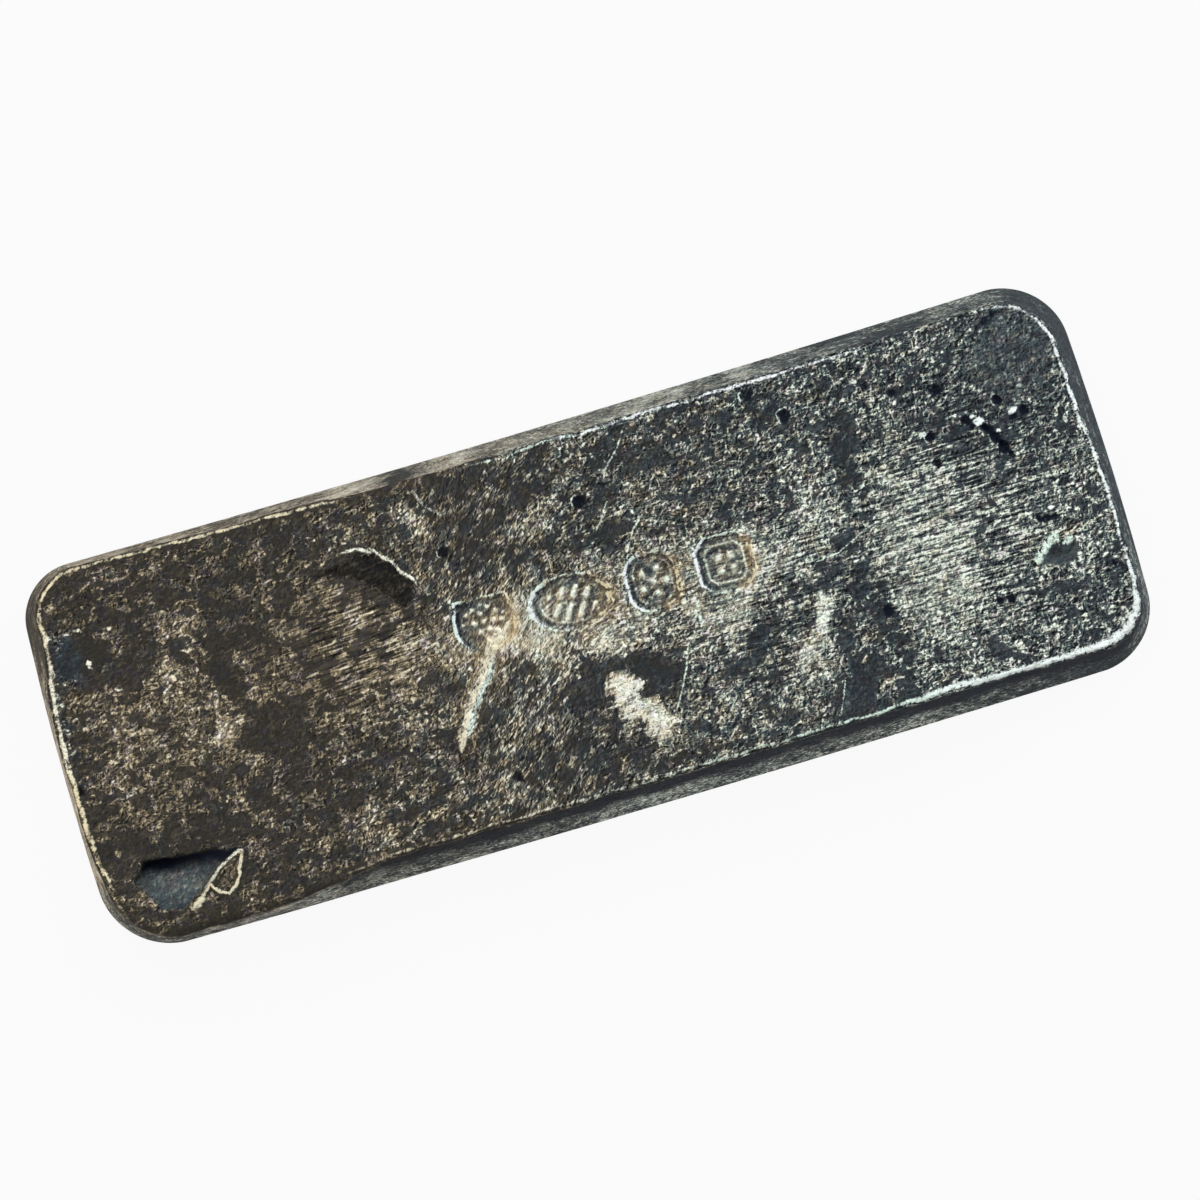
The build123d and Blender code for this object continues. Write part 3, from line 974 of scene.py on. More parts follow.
# %% The worn edge of the face, with its painted highlight
# How bright the edge line is along each stretch: worn silver and painted highlight.
edge_wear_and_highlight = [
    # place, half size, turn, how bare
    ((-39.0, 0.0), (2.5, 12.0), 0, 0.95),
    ((-26.0, 14.0), (14.0, 2.0), 0, 0.85),
    ((8.0, 13.5), (15.0, 2.0), 0, 0.90),
    ((27.0, 13.5), (9.0, 2.0), 0, 0.45),
    ((37.0, 11.0), (3.5, 3.5), 0, 0.60),
    ((38.5, -2.0), (2.5, 12.5), 0, 1.00),
    ((36.5, -11.5), (4.5, 4.0), 0, 1.00),
    ((-37.5, 12.0), (3.5, 3.0), 0, 0.75),
    ((28.0, -13.3), (11.0, 1.8), 0, 1.00),
    ((2.0, -13.0), (24.0, 1.8), 0, 0.72),
]
front_rim = smooth(-7, -12, y)
front_width = (0.12 * smooth(18, 24, x) + 0.13 * smooth(31, 36, x)) * front_rim
line_width = 0.17 + 0.09 * smooth(-36, -39, x) + front_width
waver = 0.12 * noise(vertices, 1.3, 16) + 0.14 * noise(vertices, 3.5, 48)
edge_line = bell(gap - 0.05 - line_width - waver, line_width) * np.clip(layer_of(edge_wear_and_highlight, x, y, 0.3), 0, 1)
chips = noise(vertices, 0.7, 16) + 0.6 * noise(vertices, 3.0, 17)
whole = smooth(16, 22, x) * front_rim
edge_line *= np.maximum(0.62 + 0.38 * smooth(-0.5, 0.5, chips), whole)
print("points on the bare edge", np.count_nonzero(edge_line > 0.5))

# %% Scratches, crests, torn rims and specks
TORN_RIM = 0.045
worn_and_lit_lines = np.zeros(len(vertices))


def brighten(amount, where=slice(None)):
    """Makes the bare lines at least this strong."""
    worn_and_lit_lines[where] = np.maximum(worn_and_lit_lines[where], amount)


wavy_x, wavy_y = wavy(x, y)
burr_width = 0.30 + 0.16 * noise(vertices, 0.9, 43) + 0.2 * smooth(-31.3, -32.3, x)
brighten(0.74 * stroke(wavy_x, wavy_y, ridge_line, 1.35, 0.2))
brighten(0.75 * stroke(wavy_x, wavy_y, lap_crest, 0.34, 0.1))
brighten(0.5 * stroke(x, y, small_lap_crest, 0.4))
for line, width in scratches:
    brighten(0.80 * stroke(x, y, line, width))
for line in burr_lines:
    brighten(0.95 * stroke(wavy_x, wavy_y, line, np.maximum(burr_width, 0.14), 0.03))
for line, width in crater_crests:
    brighten(0.80 * stroke(wavy_x, wavy_y, line, width, 0.1))
# Bright specks: worn silver and painted glints.
for place, size, turn in specks:
    brighten(0.95 * patch(wavy_x, wavy_y, place, size, turn, 0.4))
# Painted highlight on the upper left side of each raised pit rim.
for spot_x, spot_y, radius, _, rim in holes:
    if rim > TORN_RIM:
        dx, dy = (wavy_x - spot_x) / radius, (wavy_y - spot_y) / radius
        ring = bell(np.hypot(dx, dy) - 1.1, 0.22) * smooth(0.3, -0.8, dx - 0.4 * dy) * on_face
        brighten(0.65 * ring)
print("points on bare lines", np.count_nonzero(worn_and_lit_lines > 0.5))

# %% [markdown]
# ## Wear and painted light inside the marks
#
# Each recess is only a quarter of a millimetre deep, so light alone hardly shows it. So its light
# and shade are painted, with some wear. The left rims carry a painted cool highlight, with painted
# shadow just inside them. The right walls carry a painted warm highlight. What stands on the field
# is rubbed bare and painted brighter as highlight, and the floor between stays dark.

# %% Rims, walls and fields of the marks
mark_lamp_tint, mark_wall_shadow, mark_rub, calm = np.zeros((4, len(vertices)))
for place, turn, half, gap_of, field_of in punches:
    near = np.flatnonzero(near_mark(x, y, place) & (gap > 0.5))
    mx, my = mark_coordinates(x[near], y[near], place, turn)
    depth_in = gap_of(mx, my)
    leftward = smooth(0.25, 0.95, -mx / half)
    rightward = smooth(0.25, 0.85, (mx - 0.3 * my) / half)
    upward_left = smooth(-1.8, 1.2, my - 0.3 * mx)
    broken = 0.40 + 0.70 * smooth(-0.40, 0.35, noise(vertices[near], 0.5, 31))
    chipped = 0.35 + 0.75 * smooth(-0.3, 0.3, noise(vertices[near], 0.4, 32))
    # Painted highlights along the rim, the right wall and an inner line, partly wear.
    rim_line = (0.74 + 0.75 * leftward * (0.6 + 0.4 * upward_left)) * bell(depth_in + 0.06, 0.12)
    wall_line = 1.25 * rightward * bell(depth_in - 0.12, 0.14) * chipped
    inner_line = (0.34 + 0.35 * leftward) * bell(depth_in - 0.52, 0.10) * chipped
    for mark_line in (rim_line, wall_line, inner_line):
        brighten(mark_line * broken, near)
    # Painted lamp tint: cool on the left rims, warm on the right walls.
    mark_lamp_tint[near] += bell(depth_in - 0.08, 0.32) * (0.8 * leftward - 1.3 * rightward)
    # Painted shadow on the inner walls, strongest on the left.
    mark_wall_shadow[near] += (0.20 + 0.65 * leftward) * (1 - rightward) * bell(depth_in - 0.24, 0.15)
    relief = np.clip(field_of(mx, my), 0, 1) ** 1.5
    within = smooth(0.40, 0.60, depth_in)
    mark_rub[near] += within * (2.3 * relief - 0.85) - 0.45 * smooth(-0.1, 0.2, depth_in) * (1 - within)
    # What stands on the field is bright: worn silver and painted highlight.
    brighten(0.85 * smooth(0.3, 0.8, relief) * within * chipped, near)
    calm[near] = np.maximum(calm[near], 0.55 * smooth(-0.05, 0.25, depth_in))
bare_and_lit = np.clip(np.maximum(edge_line, worn_and_lit_lines) * on_face, 0, 1)
print("points in the marks", np.count_nonzero(calm))

# %% [markdown]
# ## Soot and painted shadow
#
# Some dirt is blacker than any tarnish. It sits where nothing can wipe it away: in the lap and in
# the larger pits. The same black is painted shadow along the back of the void, just inside the
# marks, and in a ragged band under the face's edge on the front wall.

# %% The layer of soot and painted shadow
SOOTY_RADIUS = 0.24
# Painted shadow along the back wall of the void.
in_void = smooth(-0.05, 0.25, inside(wavy_x, wavy_y, void_border)) * on_face
void_back_gap, _ = line_gap(x, y, void_back_edge)
void_back_gap += 0.35 * noise(vertices, 1.2, 25) + 0.2 * noise(vertices, 0.5, 26)
soot_and_shadow = in_void * (1 - smooth(0.35, 1.25, void_back_gap))
soot_and_shadow += 0.85 * smooth(-0.1, 0.3, inside(wavy_x, wavy_y, lap_border)) * on_face
for spot_x, spot_y, radius, _, _ in holes:
    if radius > SOOTY_RADIUS:
        size = (radius * 0.95, radius * 0.95)
        soot_and_shadow += 0.95 * patch(wavy_x, wavy_y, (spot_x, spot_y), size, 0, 0.25) * on_face
# Painted shadow: a ragged black band under the face's edge on the front wall.
on_front = y < -9
below = np.clip(-gap, 0, thickness) * (1 - on_base)
ragged_below = below + 1.8 * noise(vertices, 5.5, 44) + 1.2 * noise(vertices, 1.3, 45)
band_top = smooth(0.1, 0.5, below + 0.5 * noise(vertices, 0.8, 46))
front_wall_shadow = smooth(7.8, 3.4, ragged_below) * band_top * (1 - on_face)
front_wall_shadow *= on_front * (1 - on_base) * smooth(-25, -18, ragged_x) * smooth(40.5, 37, ragged_x)
soot_and_shadow = np.clip(soot_and_shadow + 0.95 * front_wall_shadow + mark_wall_shadow, 0, 1)
print("points under soot", np.count_nonzero(soot_and_shadow > 0.5))

# %% [markdown]
# ## Warm and cool, brushed and calm
#
# The left half of the bar is a warm brown and the right end a cool green-grey. A few places go
# against that: two patches at the left end are cool, and the ridge and the burr are warm. The layer
# `cool` says so for each point, from -1 to a little over 1. It also carries painted lamp tints: a
# cool sheen on the void floor, on the back edge line, on the ridge's right side and on the left rims
# of the marks, and a warm one along the edge of the left half and on the right walls of the marks.
# Two more layers change the flecks. `streak` adds brushed lines to them, and `calm` smooths them
# away, as in the void, the crater and the lap, where the metal froze without touching the mould.

# %% The layer cool
cool_patches = [
    # place, half size, turn, change
    ((-36.7, 7.6), (1.1, 2.2), 0, 0.8),
    ((-38.4, 3.2), (0.7, 4.0), 0, 0.6),
]
crater = smooth(-0.05, 0.12, inside(wavy_x, wavy_y, crater_border)) * on_face
# Cool towards the right end; the cool in the void is a painted sheen.
cool = 0.95 * smooth(-36, 36, x + 5 * noise(vertices, 8.0, 18)) + 0.8 * in_void
cool += 0.5 * smooth(0.2, 3, below) * on_front
cool += layer_of(cool_patches, x, y, 0.5)
# Painted cool reflection on the bright back edge line.
cool += 0.6 * edge_line * patch(x, y, (6.0, 13.0), (17.0, 2.0), 0, 0.3)
cool -= 0.60 * stroke(x, y, ridge_line, 1.8, 0.1) + 0.30 * patch(x, y, (-18.0, 2.0), (7.0, 5.0), 0, 0.6)
# Painted cool highlight along the ridge's right side.
cool += 1.2 * stroke(x, y, ridge_right, 0.4, 0.2)
# Painted warm reflection along the edge of the left half.
cool -= 0.8 * (gap > -0.6) * smooth(0.9, 0.3, gap) * smooth(-2, -12, x)
for line in burr_lines:
    cool -= 0.6 * stroke(x, y, line, 0.5, 0.03)
cool = np.clip(cool + mark_lamp_tint, -1, 1)
cool += 0.4 * crater - 0.2 * patch(x, y, (33.6, -4.7), (2.4, 1.2), 20, 0.3)
print("cool: left end", cool[x < -20].mean().round(2), "right end", cool[x > 20].mean().round(2))

# %% The layers streak and calm, and the last changes to rub, with a painted sheen on the void floor
brushed = [
    # place, half size, turn, how much
    ((-16.5, 2.6), (5.0, 4.6), 0, 1.5),
    ((27.5, -1.0), (7.5, 8.5), 0, 1.1),
]
lightly_brushed = [
    ((12.5, -2.5), (6.0, 6.0), 0, 0.9),
    ((-4.0, -8.0), (8.0, 4.0), 0, 0.5),
]
crater_rub = 0.34
wall_calm = 0.55
most_rub = 2.2

streak = np.clip(layer_of(brushed, x, y, 0.6) + layer_of(lightly_brushed, x, y, 0.7), 0, 1.5)
calm += 0.5 * patch(ragged_x, ragged_y, (34.8, 9.6), (3.6, 3.6), 0, 0.5) * on_face
lap_floor = smooth(0.05, 0.4, inside(x, y, lap_border)) * on_face
calm = np.clip(calm + 0.9 * in_void + crater + 0.5 * lap_floor, 0, 1)
calm = np.where(on_wall, wall_calm, calm)
rub_and_sheen += (crater_rub - rub_and_sheen) * crater
# Painted sheen: a lighter patch on the floor of the void.
rub_and_sheen += 0.45 * in_void * patch(x, y, (-33.4, -10.4), (2.2, 0.9), -12, 0.6)
rub_and_sheen = np.where(on_wall, wall_rub, rub_and_sheen + mark_rub)
rub_and_sheen = np.clip(rub_and_sheen * (1 - 0.35 * in_void), 0, most_rub)
print("calm points", np.count_nonzero(calm > 0.5), "brushed points", np.count_nonzero(streak > 0.5))

# %% [markdown]
# ## The grain line
#
# The flecks and the brushed lines run along the bar, and left of the middle they slant upwards. So
# the material needs a coordinate across the grain: `lane` is how far a point lies behind one line of
# the grain. Then all the layers are written to the mesh.

# %% The layer lane, and all layers onto the mesh
lane_x = np.linspace(-45, 45, 181)
lane_slope = 0.06 * smooth(-30, -22, lane_x) + 0.54 * smooth(-13, -8, lane_x) - 0.60 * smooth(-5, 3, lane_x)
lane_rise = np.cumsum(lane_slope) * (lane_x[1] - lane_x[0])
lane = y - np.interp(x, lane_x, lane_rise)

layers = {
    "lane": lane,
    "rub_and_sheen": rub_and_sheen,
    "bare_and_lit": bare_and_lit,
    "soot_and_shadow": soot_and_shadow,
    "cool": cool,
    "streak": streak,
    "calm": calm,
    "grime": grime,
}
for name, values in layers.items():
    layer = mesh.attributes.new(name, "FLOAT", "POINT")
    layer.data.foreach_set("value", values.astype(np.float32))
    print("layer", name, "mean", round(float(values.mean()), 3))

# %% [markdown]
# ## Laying out the surface for baking
#
# A game or a viewer can't run the shader below, so the surface is to be baked to an image. The
# layout decides how sharp it gets. The struck face takes the top third of the image at full
# sharpness, the long walls lie under it as two strips, and the ends and the base share what is left.

# %% Unwrap by hand
IMAGE = 1024
FACE_SCALE = 11.7
BASE_SCALE = 8.2
MARGIN = 6
END_ROOM = 28.5
LIP_BANDS = 2


def unwrap():
    """Lays the face, the four walls and the base side by side in the image."""
    loops = np.zeros(len(mesh.loops), int)
    mesh.loops.foreach_get("vertex_index", loops)
    sizes = np.zeros(len(mesh.polygons), int)
    mesh.polygons.foreach_get("loop_total", sizes)
    face_of = np.repeat(np.arange(len(sizes)), sizes)
    band_count = len(quads)
    band, column = np.divmod(np.minimum(face_of, band_count - 1), around)
    is_band = face_of < band_count
    is_base_fill = face_of >= band_count + len(top_faces)
    on_bottom = (is_band & (band < LIP_BANDS)) | is_base_fill
    on_top = (is_band & (band > ring_kinds.index("edge"))) | ~(is_band | is_base_fill)
    wall = ~on_top & ~on_bottom
    px, py, pz = vertices[loops].T
    u, v = np.zeros(len(loops)), np.zeros(len(loops))
    u[on_top] = MARGIN + (px[on_top] + half_length) * FACE_SCALE
    v[on_top] = IMAGE - MARGIN - (half_width - py[on_top]) * FACE_SCALE
    u[on_bottom] = 2 * MARGIN + END_ROOM * FACE_SCALE + (half_length - px[on_bottom]) * BASE_SCALE
    v[on_bottom] = MARGIN + (py[on_bottom] + half_width) * BASE_SCALE
    middle_ring = rings[len(rings) // 2]
    ring_steps = np.diff(middle_ring[:, :2], axis=0, append=middle_ring[:1, :2])
    length = np.concatenate([[0], np.cumsum(np.hypot(*ring_steps.T))])
    strip = thickness * FACE_SCALE
    face_bottom = IMAGE - 2 * MARGIN - 2 * half_width * FACE_SCALE
    first = CORNER_STEPS // 2
    walls = [
        # steps along the wall, its row in the image counted down from the face
        (LONG_STEPS, 0),
        (END_STEPS, 2),
        (LONG_STEPS, 1),
        (END_STEPS, 3),
    ]
    for steps, row in walls:
        count = CORNER_STEPS + steps
        mine = wall & ((column - first) % around < count)
        walked = (loops[mine] - first) % around
        position = first + np.where(walked == around - 1, -1, walked)
        along = length[position % around] + (position // around) * length[-1] - length[first]
        u[mine] = MARGIN + along * FACE_SCALE
        v[mine] = face_bottom - (row + 1) * strip - row * MARGIN + pz[mine] * FACE_SCALE
        first += count
    layout = mesh.uv_layers.new(name="OFBake")
    layout.data.foreach_set("uv", (np.column_stack([u, v]) / IMAGE).astype(np.float32).ravel())
    print("layout spans", np.round((u.min(), u.max(), v.min(), v.max()), 1), "of", IMAGE, "pixels")


unwrap()

# %% [markdown]
# ## Shader sums in plain Python
#
# A material is a net of nodes. Adding each Math node by hand hides the sum in wiring, so a small
# class wraps a socket and lets Python's own signs add the nodes. `1 - mask * 0.5` then reads as
# what it means. Colours are mixed with one Mix node, because a Math node would turn them grey.

# %% Sockets that add up
class Value:
    """A number that varies over the surface. Sums with it add Math nodes."""

    def __init__(self, finish, socket):
        self.finish = finish
        self.socket = socket

    def math(self, operation, first, second):
        return self.finish.node("ShaderNodeMath", {"operation": operation}, {0: first, 1: second})

    def __add__(self, other):
        return self.math("ADD", self, other)

    def __sub__(self, other):
        return self.math("SUBTRACT", self, other)

    def __mul__(self, other):
        return self.math("MULTIPLY", self, other)

    def __radd__(self, other):
        return self.math("ADD", other, self)

    def __rsub__(self, other):
        return self.math("SUBTRACT", other, self)

    def __rmul__(self, other):
        return self.math("MULTIPLY", other, self)

    def most(self, other):
        return self.math("MAXIMUM", self, other)

    def also(self, output):
        """Another output of the same node."""
        return Value(self.finish, self.socket.node.outputs[output])


class Finish:
    """A material made of nodes."""

    def __init__(self, name):
        self.material = bpy.data.materials.new(name)
        self.material.use_nodes = True
        self.tree = self.material.node_tree
        self.tree.nodes.clear()

    def node(self, kind, settings=None, inputs=None, output=0):
        """Adds one node with its settings and the values or links of its sockets."""
        made = self.tree.nodes.new(kind)
        settings = dict(settings or {})
        for number, (position, tint) in enumerate(settings.pop("stops", ())):
            if number > 1:
                made.color_ramp.elements.new(position)
            made.color_ramp.elements[number].position = position
            made.color_ramp.elements[number].color = tint
        for name, setting in settings.items():
            setattr(made, name, setting)
        for name, value in (inputs or {}).items():
            if isinstance(value, Value):
                self.tree.links.new(value.socket, made.inputs[name])
            else:
                made.inputs[name].default_value = value
        return Value(self, made.outputs[output]) if made.outputs else None

    def step(self, low, high, value):
        """A soft step from 0 at low to 1 at high."""
        settings = {"interpolation_type": "SMOOTHSTEP"}
        return self.node("ShaderNodeMapRange", settings, {"Value": value, "From Min": low, "From Max": high})

    def mix(self, share, first, second):
        """A colour between two colours."""
        settings = {"data_type": "RGBA"}
        return self.node("ShaderNodeMix", settings, {0: share, 6: first, 7: second}, output=2)

    def ramp(self, stops, value):
        """The colour that a row of stops has at a value."""
        return self.node("ShaderNodeValToRGB", {"stops": stops}, {0: value})

    def layer(self, name):
        """A layer painted on the mesh."""
        return self.node("ShaderNodeAttribute", {"attribute_name": name}, output=2)


def colour(red, green, blue):
    """A colour as a screen shows it, 0 to 255, turned into the linear light that shaders use."""
    shown = np.array([red, green, blue]) / 255
    light = np.where(shown <= 0.04045, shown / 12.92, ((shown + 0.055) / 1.055) ** 2.4)
    return (*light.tolist(), 1.0)


# %% [markdown]
# ## Old silver
#
# Tarnish is silver sulphide: a thin grey-black skin with a brown cast. It is worn through in fine
# flecks, where every small crest of the casting has been rubbed, and the bright curls are partly
# painted highlights on those crests. So the material starts from noise at the size of those crests,
# a few tenths of a millimetre. Curls are the lines where a noise crosses its middle, lumps are the
# cells of a Voronoi pattern, and pebbles are a noise minus the same noise moved a little, which
# paints a lit side and a shaded side on each lump. The curls get the same painted light and shade.
#
# All of this becomes one number, `tone`, from black to bright. The rubbed layer lifts it and gives
# it contrast, `smut` makes flat dark patches where little was rubbed, `calm` takes the contrast away,
# and `streak` adds lines along the grain. Three rows of colours, warm, cool and mauve, turn the tone
# into tarnish. Soot with painted shadow, and bare silver with painted highlights, lie on top.

# %% The tarnished silver
warm_tones = (
    (0.00, colour(22, 19, 15)),
    (0.22, colour(55, 52, 46)),
    (0.42, colour(88, 81, 69)),
    (0.60, colour(141, 127, 102)),
    (0.78, colour(188, 173, 143)),
    (1.00, colour(240, 231, 208)),
)
cool_tones = (
    (0.00, colour(17, 20, 23)),
    (0.22, colour(48, 56, 61)),
    (0.42, colour(80, 90, 93)),
    (0.60, colour(127, 136, 128)),
    (0.78, colour(190, 198, 182)),
    (1.00, colour(244, 249, 236)),
)
mauve_tones = (
    (0.00, colour(20, 18, 24)),
    (0.22, colour(53, 50, 56)),
    (0.42, colour(88, 81, 84)),
    (0.60, colour(140, 129, 126)),
    (0.78, colour(196, 187, 182)),
    (1.00, colour(243, 242, 248)),
)
# Bare silver from warm to cool; on the painted highlights these are painted lamp tints.
silver_and_lamp_tints = (
    (0.00, colour(236, 219, 180)),
    (0.22, colour(238, 230, 200)),
    (0.50, colour(250, 245, 226)),
    (0.90, colour(226, 247, 232)),
    (1.00, colour(248, 250, 250)),
)
# Black of soot, also used for painted shadow.
warm_soot_and_shadow = colour(17, 16, 15)
cool_soot_and_shadow = colour(20, 26, 40)
tarnish_gloss = 0.06
relief_height = 0.28


def tarnished_silver():
    """Tarnished cast silver, with the wear and the painted light and shade that the layers ask for."""
    f = Finish("tarnished_silver")
    place = f.node("ShaderNodeTexCoord", output=3)
    rub_and_sheen, bare_and_lit, soot_and_shadow, cool, streak, calm, grime, lane = (
        f.layer(name) for name in ("rub_and_sheen", "bare_and_lit", "soot_and_shadow", "cool", "streak", "calm", "grime", "lane")
    )
    along = f.node("ShaderNodeSeparateXYZ", {}, {0: place}, output=0)
    upward = f.node("ShaderNodeSeparateXYZ", {}, {0: place}, output=2)

    def flow(stretch):
        """Coordinates along the grain line, with everything pulled out along it."""
        return f.node("ShaderNodeCombineXYZ", {}, {0: along * (1 / stretch), 1: lane * MM, 2: upward * 0.6})

    def grain(cells_per_mm, detail, rough, bend, where):
        """Noise centred on 0, with lumps of the asked size."""
        inputs = {"Vector": where, "Scale": cells_per_mm / MM, "Detail": detail}
        inputs |= {"Roughness": rough, "Distortion": bend}
        return f.node("ShaderNodeTexNoise", {}, inputs) - 0.5

    def crease(field, width):
        """1 on the lines where a noise crosses 0, fading out at the asked width."""
        return 1 - f.step(0, width, f.node("ShaderNodeMath", {"operation": "ABSOLUTE"}, {0: field}))

    def curls(cells_per_mm, width, where):
        """Thin bright curls, the crests of the cast skin."""
        return crease(grain(cells_per_mm, 2.5, 0.6, 0.3, where), width)

    def moved(where, step):
        """The same coordinates a step up and to the left, to paint a lit side and a shaded side on each
        crest.
        """
        return f.node("ShaderNodeVectorMath", {"operation": "ADD"}, {0: where, 1: (-step * MM, step * MM, 0)})

    def lumpy(cells_per_mm, where):
        """Small rounded lumps, each with its own height, from about -0.3 up."""
        away = f.node("ShaderNodeTexVoronoi", {}, {"Vector": where, "Scale": cells_per_mm / MM})
        own_height = away.also(1)
        return (1 - f.step(0.20, 0.62, away)) * (own_height * 1.7) - 0.30

    # The flecks, each a noise of its own
    skin_flow = flow(1.1)
    wander = f.node("ShaderNodeTexNoise", {}, {"Vector": place, "Scale": 2.0 / MM, "Detail": 1.0}, output=1)
    bending = {0: wander, 1: (0.35 * MM,) * 3, 2: flow(1.4)}
    bent = f.node("ShaderNodeVectorMath", {"operation": "MULTIPLY_ADD"}, bending)
    beads = lumpy(3.2, bent)
    small_beads = lumpy(5.0, bent)
    large_curls = curls(1.3, 0.085, skin_flow)
    small_curls = curls(2.5, 0.12, skin_flow)
    # Painted light and shade: each curl minus the same curl moved up and to the left.
    large_curl_light_and_shade = large_curls - curls(1.3, 0.085, moved(skin_flow, 0.075))
    small_curl_light_and_shade = small_curls - curls(2.5, 0.12, moved(skin_flow, 0.06))
    strength = 0.8 + grain(1.1, 2, 0.6, 0, place) * 2 + grain(2.6, 1, 0.6, 0, place) * 2.5
    strands = large_curls.most(small_curls * 0.75) * strength - 0.40
    lumps = grain(1.3, 3, 0.6, 0.4, flow(1.4))
    grit = grain(4.6, 1.5, 0.6, 0, place)
    # Painted light and shade on the pebbles, the same way.
    pebble_light_and_shade = grain(2.1, 2, 0.6, 0.5, skin_flow) - grain(2.1, 2, 0.6, 0.5, moved(skin_flow, 0.07))
    patches = grain(1.0, 3, 0.62, 0.5, flow(1.4))
    lines = grain(4.6, 2, 0.7, 0, flow(10))
    tint = grain(0.9, 2, 0.6, 0, place) * 3 + grit * 1.5

    # Their sum, steered by the layers
    crests = strands * 0.34 + large_curl_light_and_shade * 0.20 + small_curl_light_and_shade * 0.12 + beads * 0.34 + small_beads * 0.08
    brushed = f.step(0.2, 1.4, streak)
    busy = (crests + pebble_light_and_shade * 1.2) * (1 - brushed * 0.30) + lumps * 0.5 + streak * lines * 1.9
    smut = f.step(0.0, 0.02, patches + 0.09 - cool * 0.05 + grime * 0.5 - rub_and_sheen * 0.20 - calm)
    contrast = (0.70 + cool * 0.42 + rub_and_sheen * 0.30) * f.step(-0.35, 0.35, rub_and_sheen) * (1 - calm * 0.8)
    contrast = contrast * (1 - f.step(0.7, 1.5, rub_and_sheen) * 0.4)
    tone = 0.27 + rub_and_sheen * 0.32 + busy * contrast * (1 - smut * 0.70) - smut * (0.075 + rub_and_sheen * 0.22)

    # The colours
    coolness = cool * 1.16 + tint * 0.7 - 0.08
    mauveness = f.step(0.0, 0.16, grain(1.6, 2, 0.6, 0, place)) * 0.6
    tarnish = f.mix(coolness, f.ramp(warm_tones, tone), f.ramp(cool_tones, tone))
    tarnish = f.mix(mauveness, tarnish, f.ramp(mauve_tones, tone))
    blackened = f.mix(soot_and_shadow, tarnish, f.mix(cool, warm_soot_and_shadow, cool_soot_and_shadow))
    silver = f.ramp(silver_and_lamp_tints, cool * 0.5 + 0.5)
    shine = f.step(0.25, 0.70, bare_and_lit * (0.85 + crests * 0.9 + grit * 0.9))
    base = f.mix(shine, blackened, silver)

    # How the surface shines, and its finest relief
    metal = (f.step(0.35, 0.75, tone) * 0.6 * (1 - soot_and_shadow)).most(shine * 0.3)
    relief = lumps * 0.5 + strands * 0.2 + streak * lines * 0.3
    height = relief * (1 - smut * 0.8) * (1 - calm * 0.7) + patches * 0.3
    bump = f.node("ShaderNodeBump", {}, {"Strength": 1.0, "Distance": relief_height * MM, "Height": height})
    surface = {
        "Base Color": base,
        "Metallic": metal,
        "Roughness": 0.8 - metal * 0.45,
        "Specular IOR Level": tarnish_gloss,
        "Normal": bump,
    }
    shader = f.node("ShaderNodeBsdfPrincipled", {}, surface)
    f.node("ShaderNodeOutputMaterial", {}, {"Surface": shader})
    return f.material


bar.data.materials.append(tarnished_silver())
print("nodes in the material", len(bar.active_material.node_tree.nodes))

# %% [markdown]
# ## Floor and light
#
# The photo shows the bar on plain white, lit softly from all round, a little cooler from the back
# right and warmer from the left. The floor is one white sheet. Under these lamps plain paint comes
# out grey, and brighter paint would throw too much light back onto the walls. So the paint gets an
# even glow that only three kinds of ray see: those from the camera, those mirrored by the bar and
# those that pass through something. The light that the floor scatters onto the bar is the paint's.

# %% Floor
floor_half = 1.5
glow_share = 0.93
floor_corners = [
    (-floor_half, -floor_half, 0),
    (floor_half, -floor_half, 0),
    (floor_half, floor_half, 0),
    (-floor_half, floor_half, 0),
]
floor_mesh = bpy.data.meshes.new("floor")
floor_mesh.from_pydata(floor_corners, [], [(0, 1, 2, 3)])
floor = bpy.data.objects.new("floor", floor_mesh)
bpy.context.scene.collection.objects.link(floor)


def floor_paint():
    """White paint with a glow that the camera and mirrored rays see."""
    f = Finish("floor_paint")
    paint = f.node("ShaderNodeBsdfDiffuse", {}, {"Color": colour(188, 188, 188)})
    glow = f.node("ShaderNodeEmission", {}, {"Color": (1, 1, 1, 1), "Strength": 1.0})
    camera_ray = f.node("ShaderNodeLightPath", {}, output=0)
    glossy_ray = camera_ray.also(3)
    transmission_ray = camera_ray.also(6)
    lift = camera_ray.most(glossy_ray).most(transmission_ray) * glow_share
    shader = f.node("ShaderNodeMixShader", {}, {0: lift, 1: paint, 2: glow})
    f.node("ShaderNodeOutputMaterial", {}, {"Surface": shader})
    return f.material


floor.data.materials.append(floor_paint())
print("floor", 2 * floor_half, "m wide")

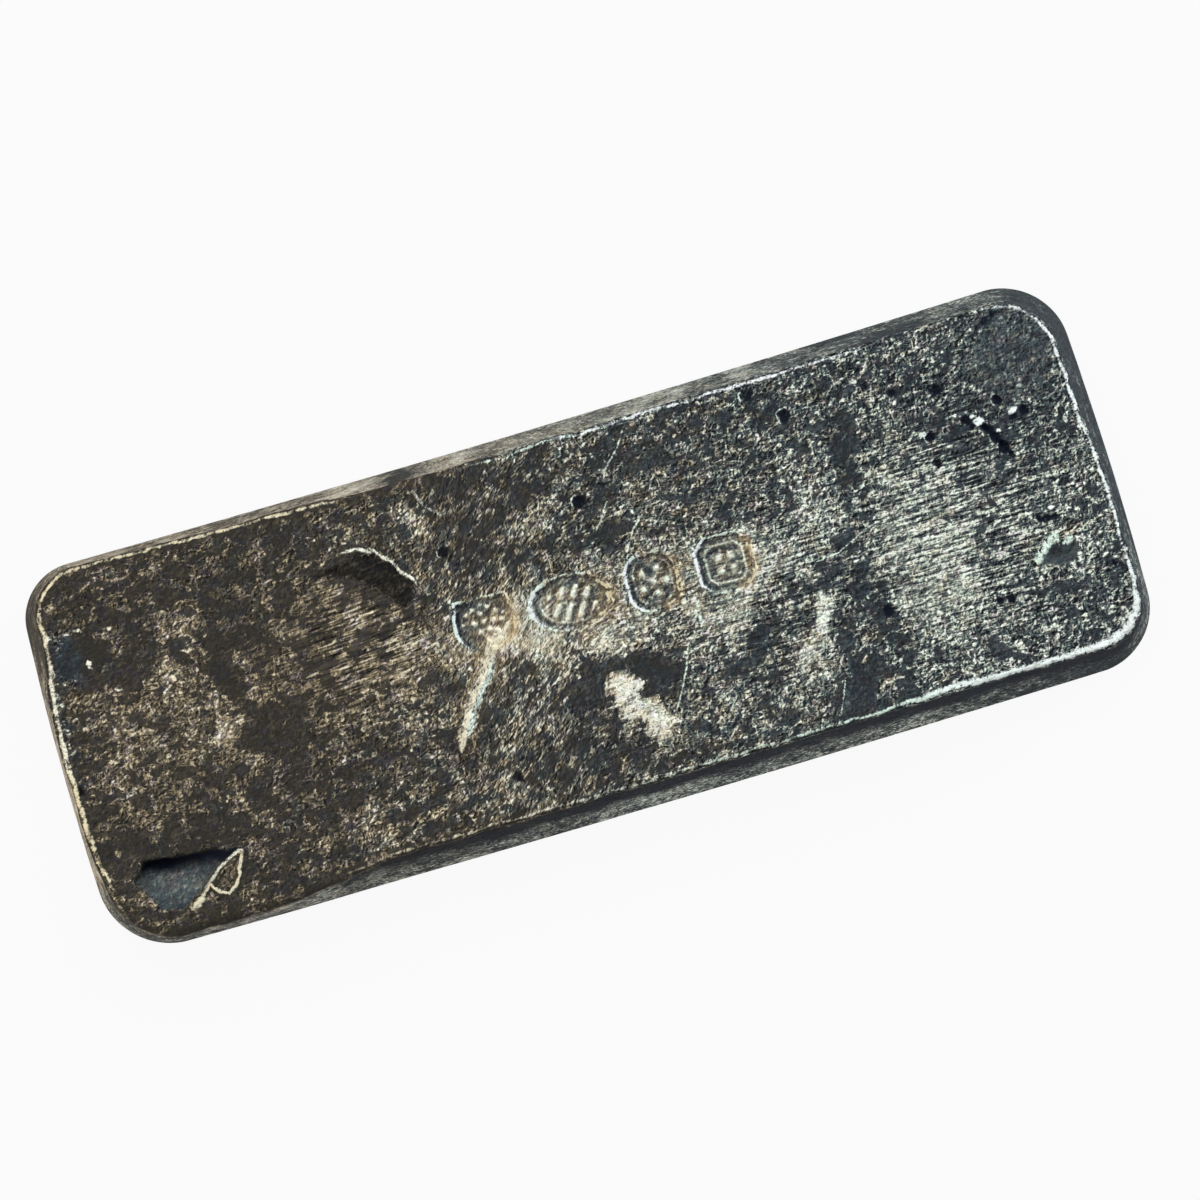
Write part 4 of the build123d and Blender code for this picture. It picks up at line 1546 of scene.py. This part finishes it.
# %% World and lamps
sky_tint = (0.94, 0.97, 1.0, 1)
sky_strength = 0.28
lamp_distance = 0.6

world = bpy.data.worlds.new("studio")
bpy.context.scene.world = world
world.use_nodes = True
background = world.node_tree.nodes["Background"]
background.inputs["Color"].default_value = sky_tint
background.inputs["Strength"].default_value = sky_strength


def lamp(name, direction, size, power, tint):
    """A square soft lamp that points at the bar."""
    data = bpy.data.lights.new(name, "AREA")
    data.size = size
    data.energy = power
    data.color = tint
    made = bpy.data.objects.new(name, data)
    made.location = Vector(direction).normalized() * lamp_distance
    made.rotation_euler = made.location.to_track_quat("Z", "Y").to_euler()
    bpy.context.scene.collection.objects.link(made)


lamp("cool_lamp", (1.0, 0.35, 0.6), 0.22, 1.8, (0.86, 0.93, 1.0))
lamp("warm_lamp", (-1.0, -0.1, 0.5), 0.22, 1.4, (1.0, 0.93, 0.82))
lamp("back_lamp", (0.05, 0.42, 1.0), 0.40, 1.6, (1.0, 1.0, 1.0))
print("lamps", len(bpy.data.lights))

# %% [markdown]
# ## Camera
#
# The photo was taken from almost straight above, with the bar turned by about 16 degrees in the
# frame. The strips of wall that show beyond the face suit a camera about half a metre up. It stands
# a hair in front of the bar's middle, so the front wall shows a little more.

# %% Camera
camera_height = 0.4935
frame_width = 0.0884
bar_turn = np.radians(16.49)
aim = Vector((1.30 * MM, 0.91 * MM, 0.0))
lean_forward = np.radians(0.8)

camera_data = bpy.data.cameras.new("camera")
camera_data.lens = camera_data.sensor_width * camera_height / frame_width
camera = bpy.data.objects.new("camera", camera_data)
camera.location = aim + Vector((0, -np.sin(lean_forward), np.cos(lean_forward))) * camera_height
up = Vector((np.sin(bar_turn), np.cos(bar_turn), 0))
back = (camera.location - aim).normalized()
right = up.cross(back).normalized()
camera.rotation_euler = Matrix((right, back.cross(right), back)).transposed().to_euler()
bpy.context.scene.collection.objects.link(camera)
bpy.context.scene.camera = camera
bpy.context.scene.view_settings.view_transform = "Standard"
print("lens", round(camera_data.lens, 1), "mm")
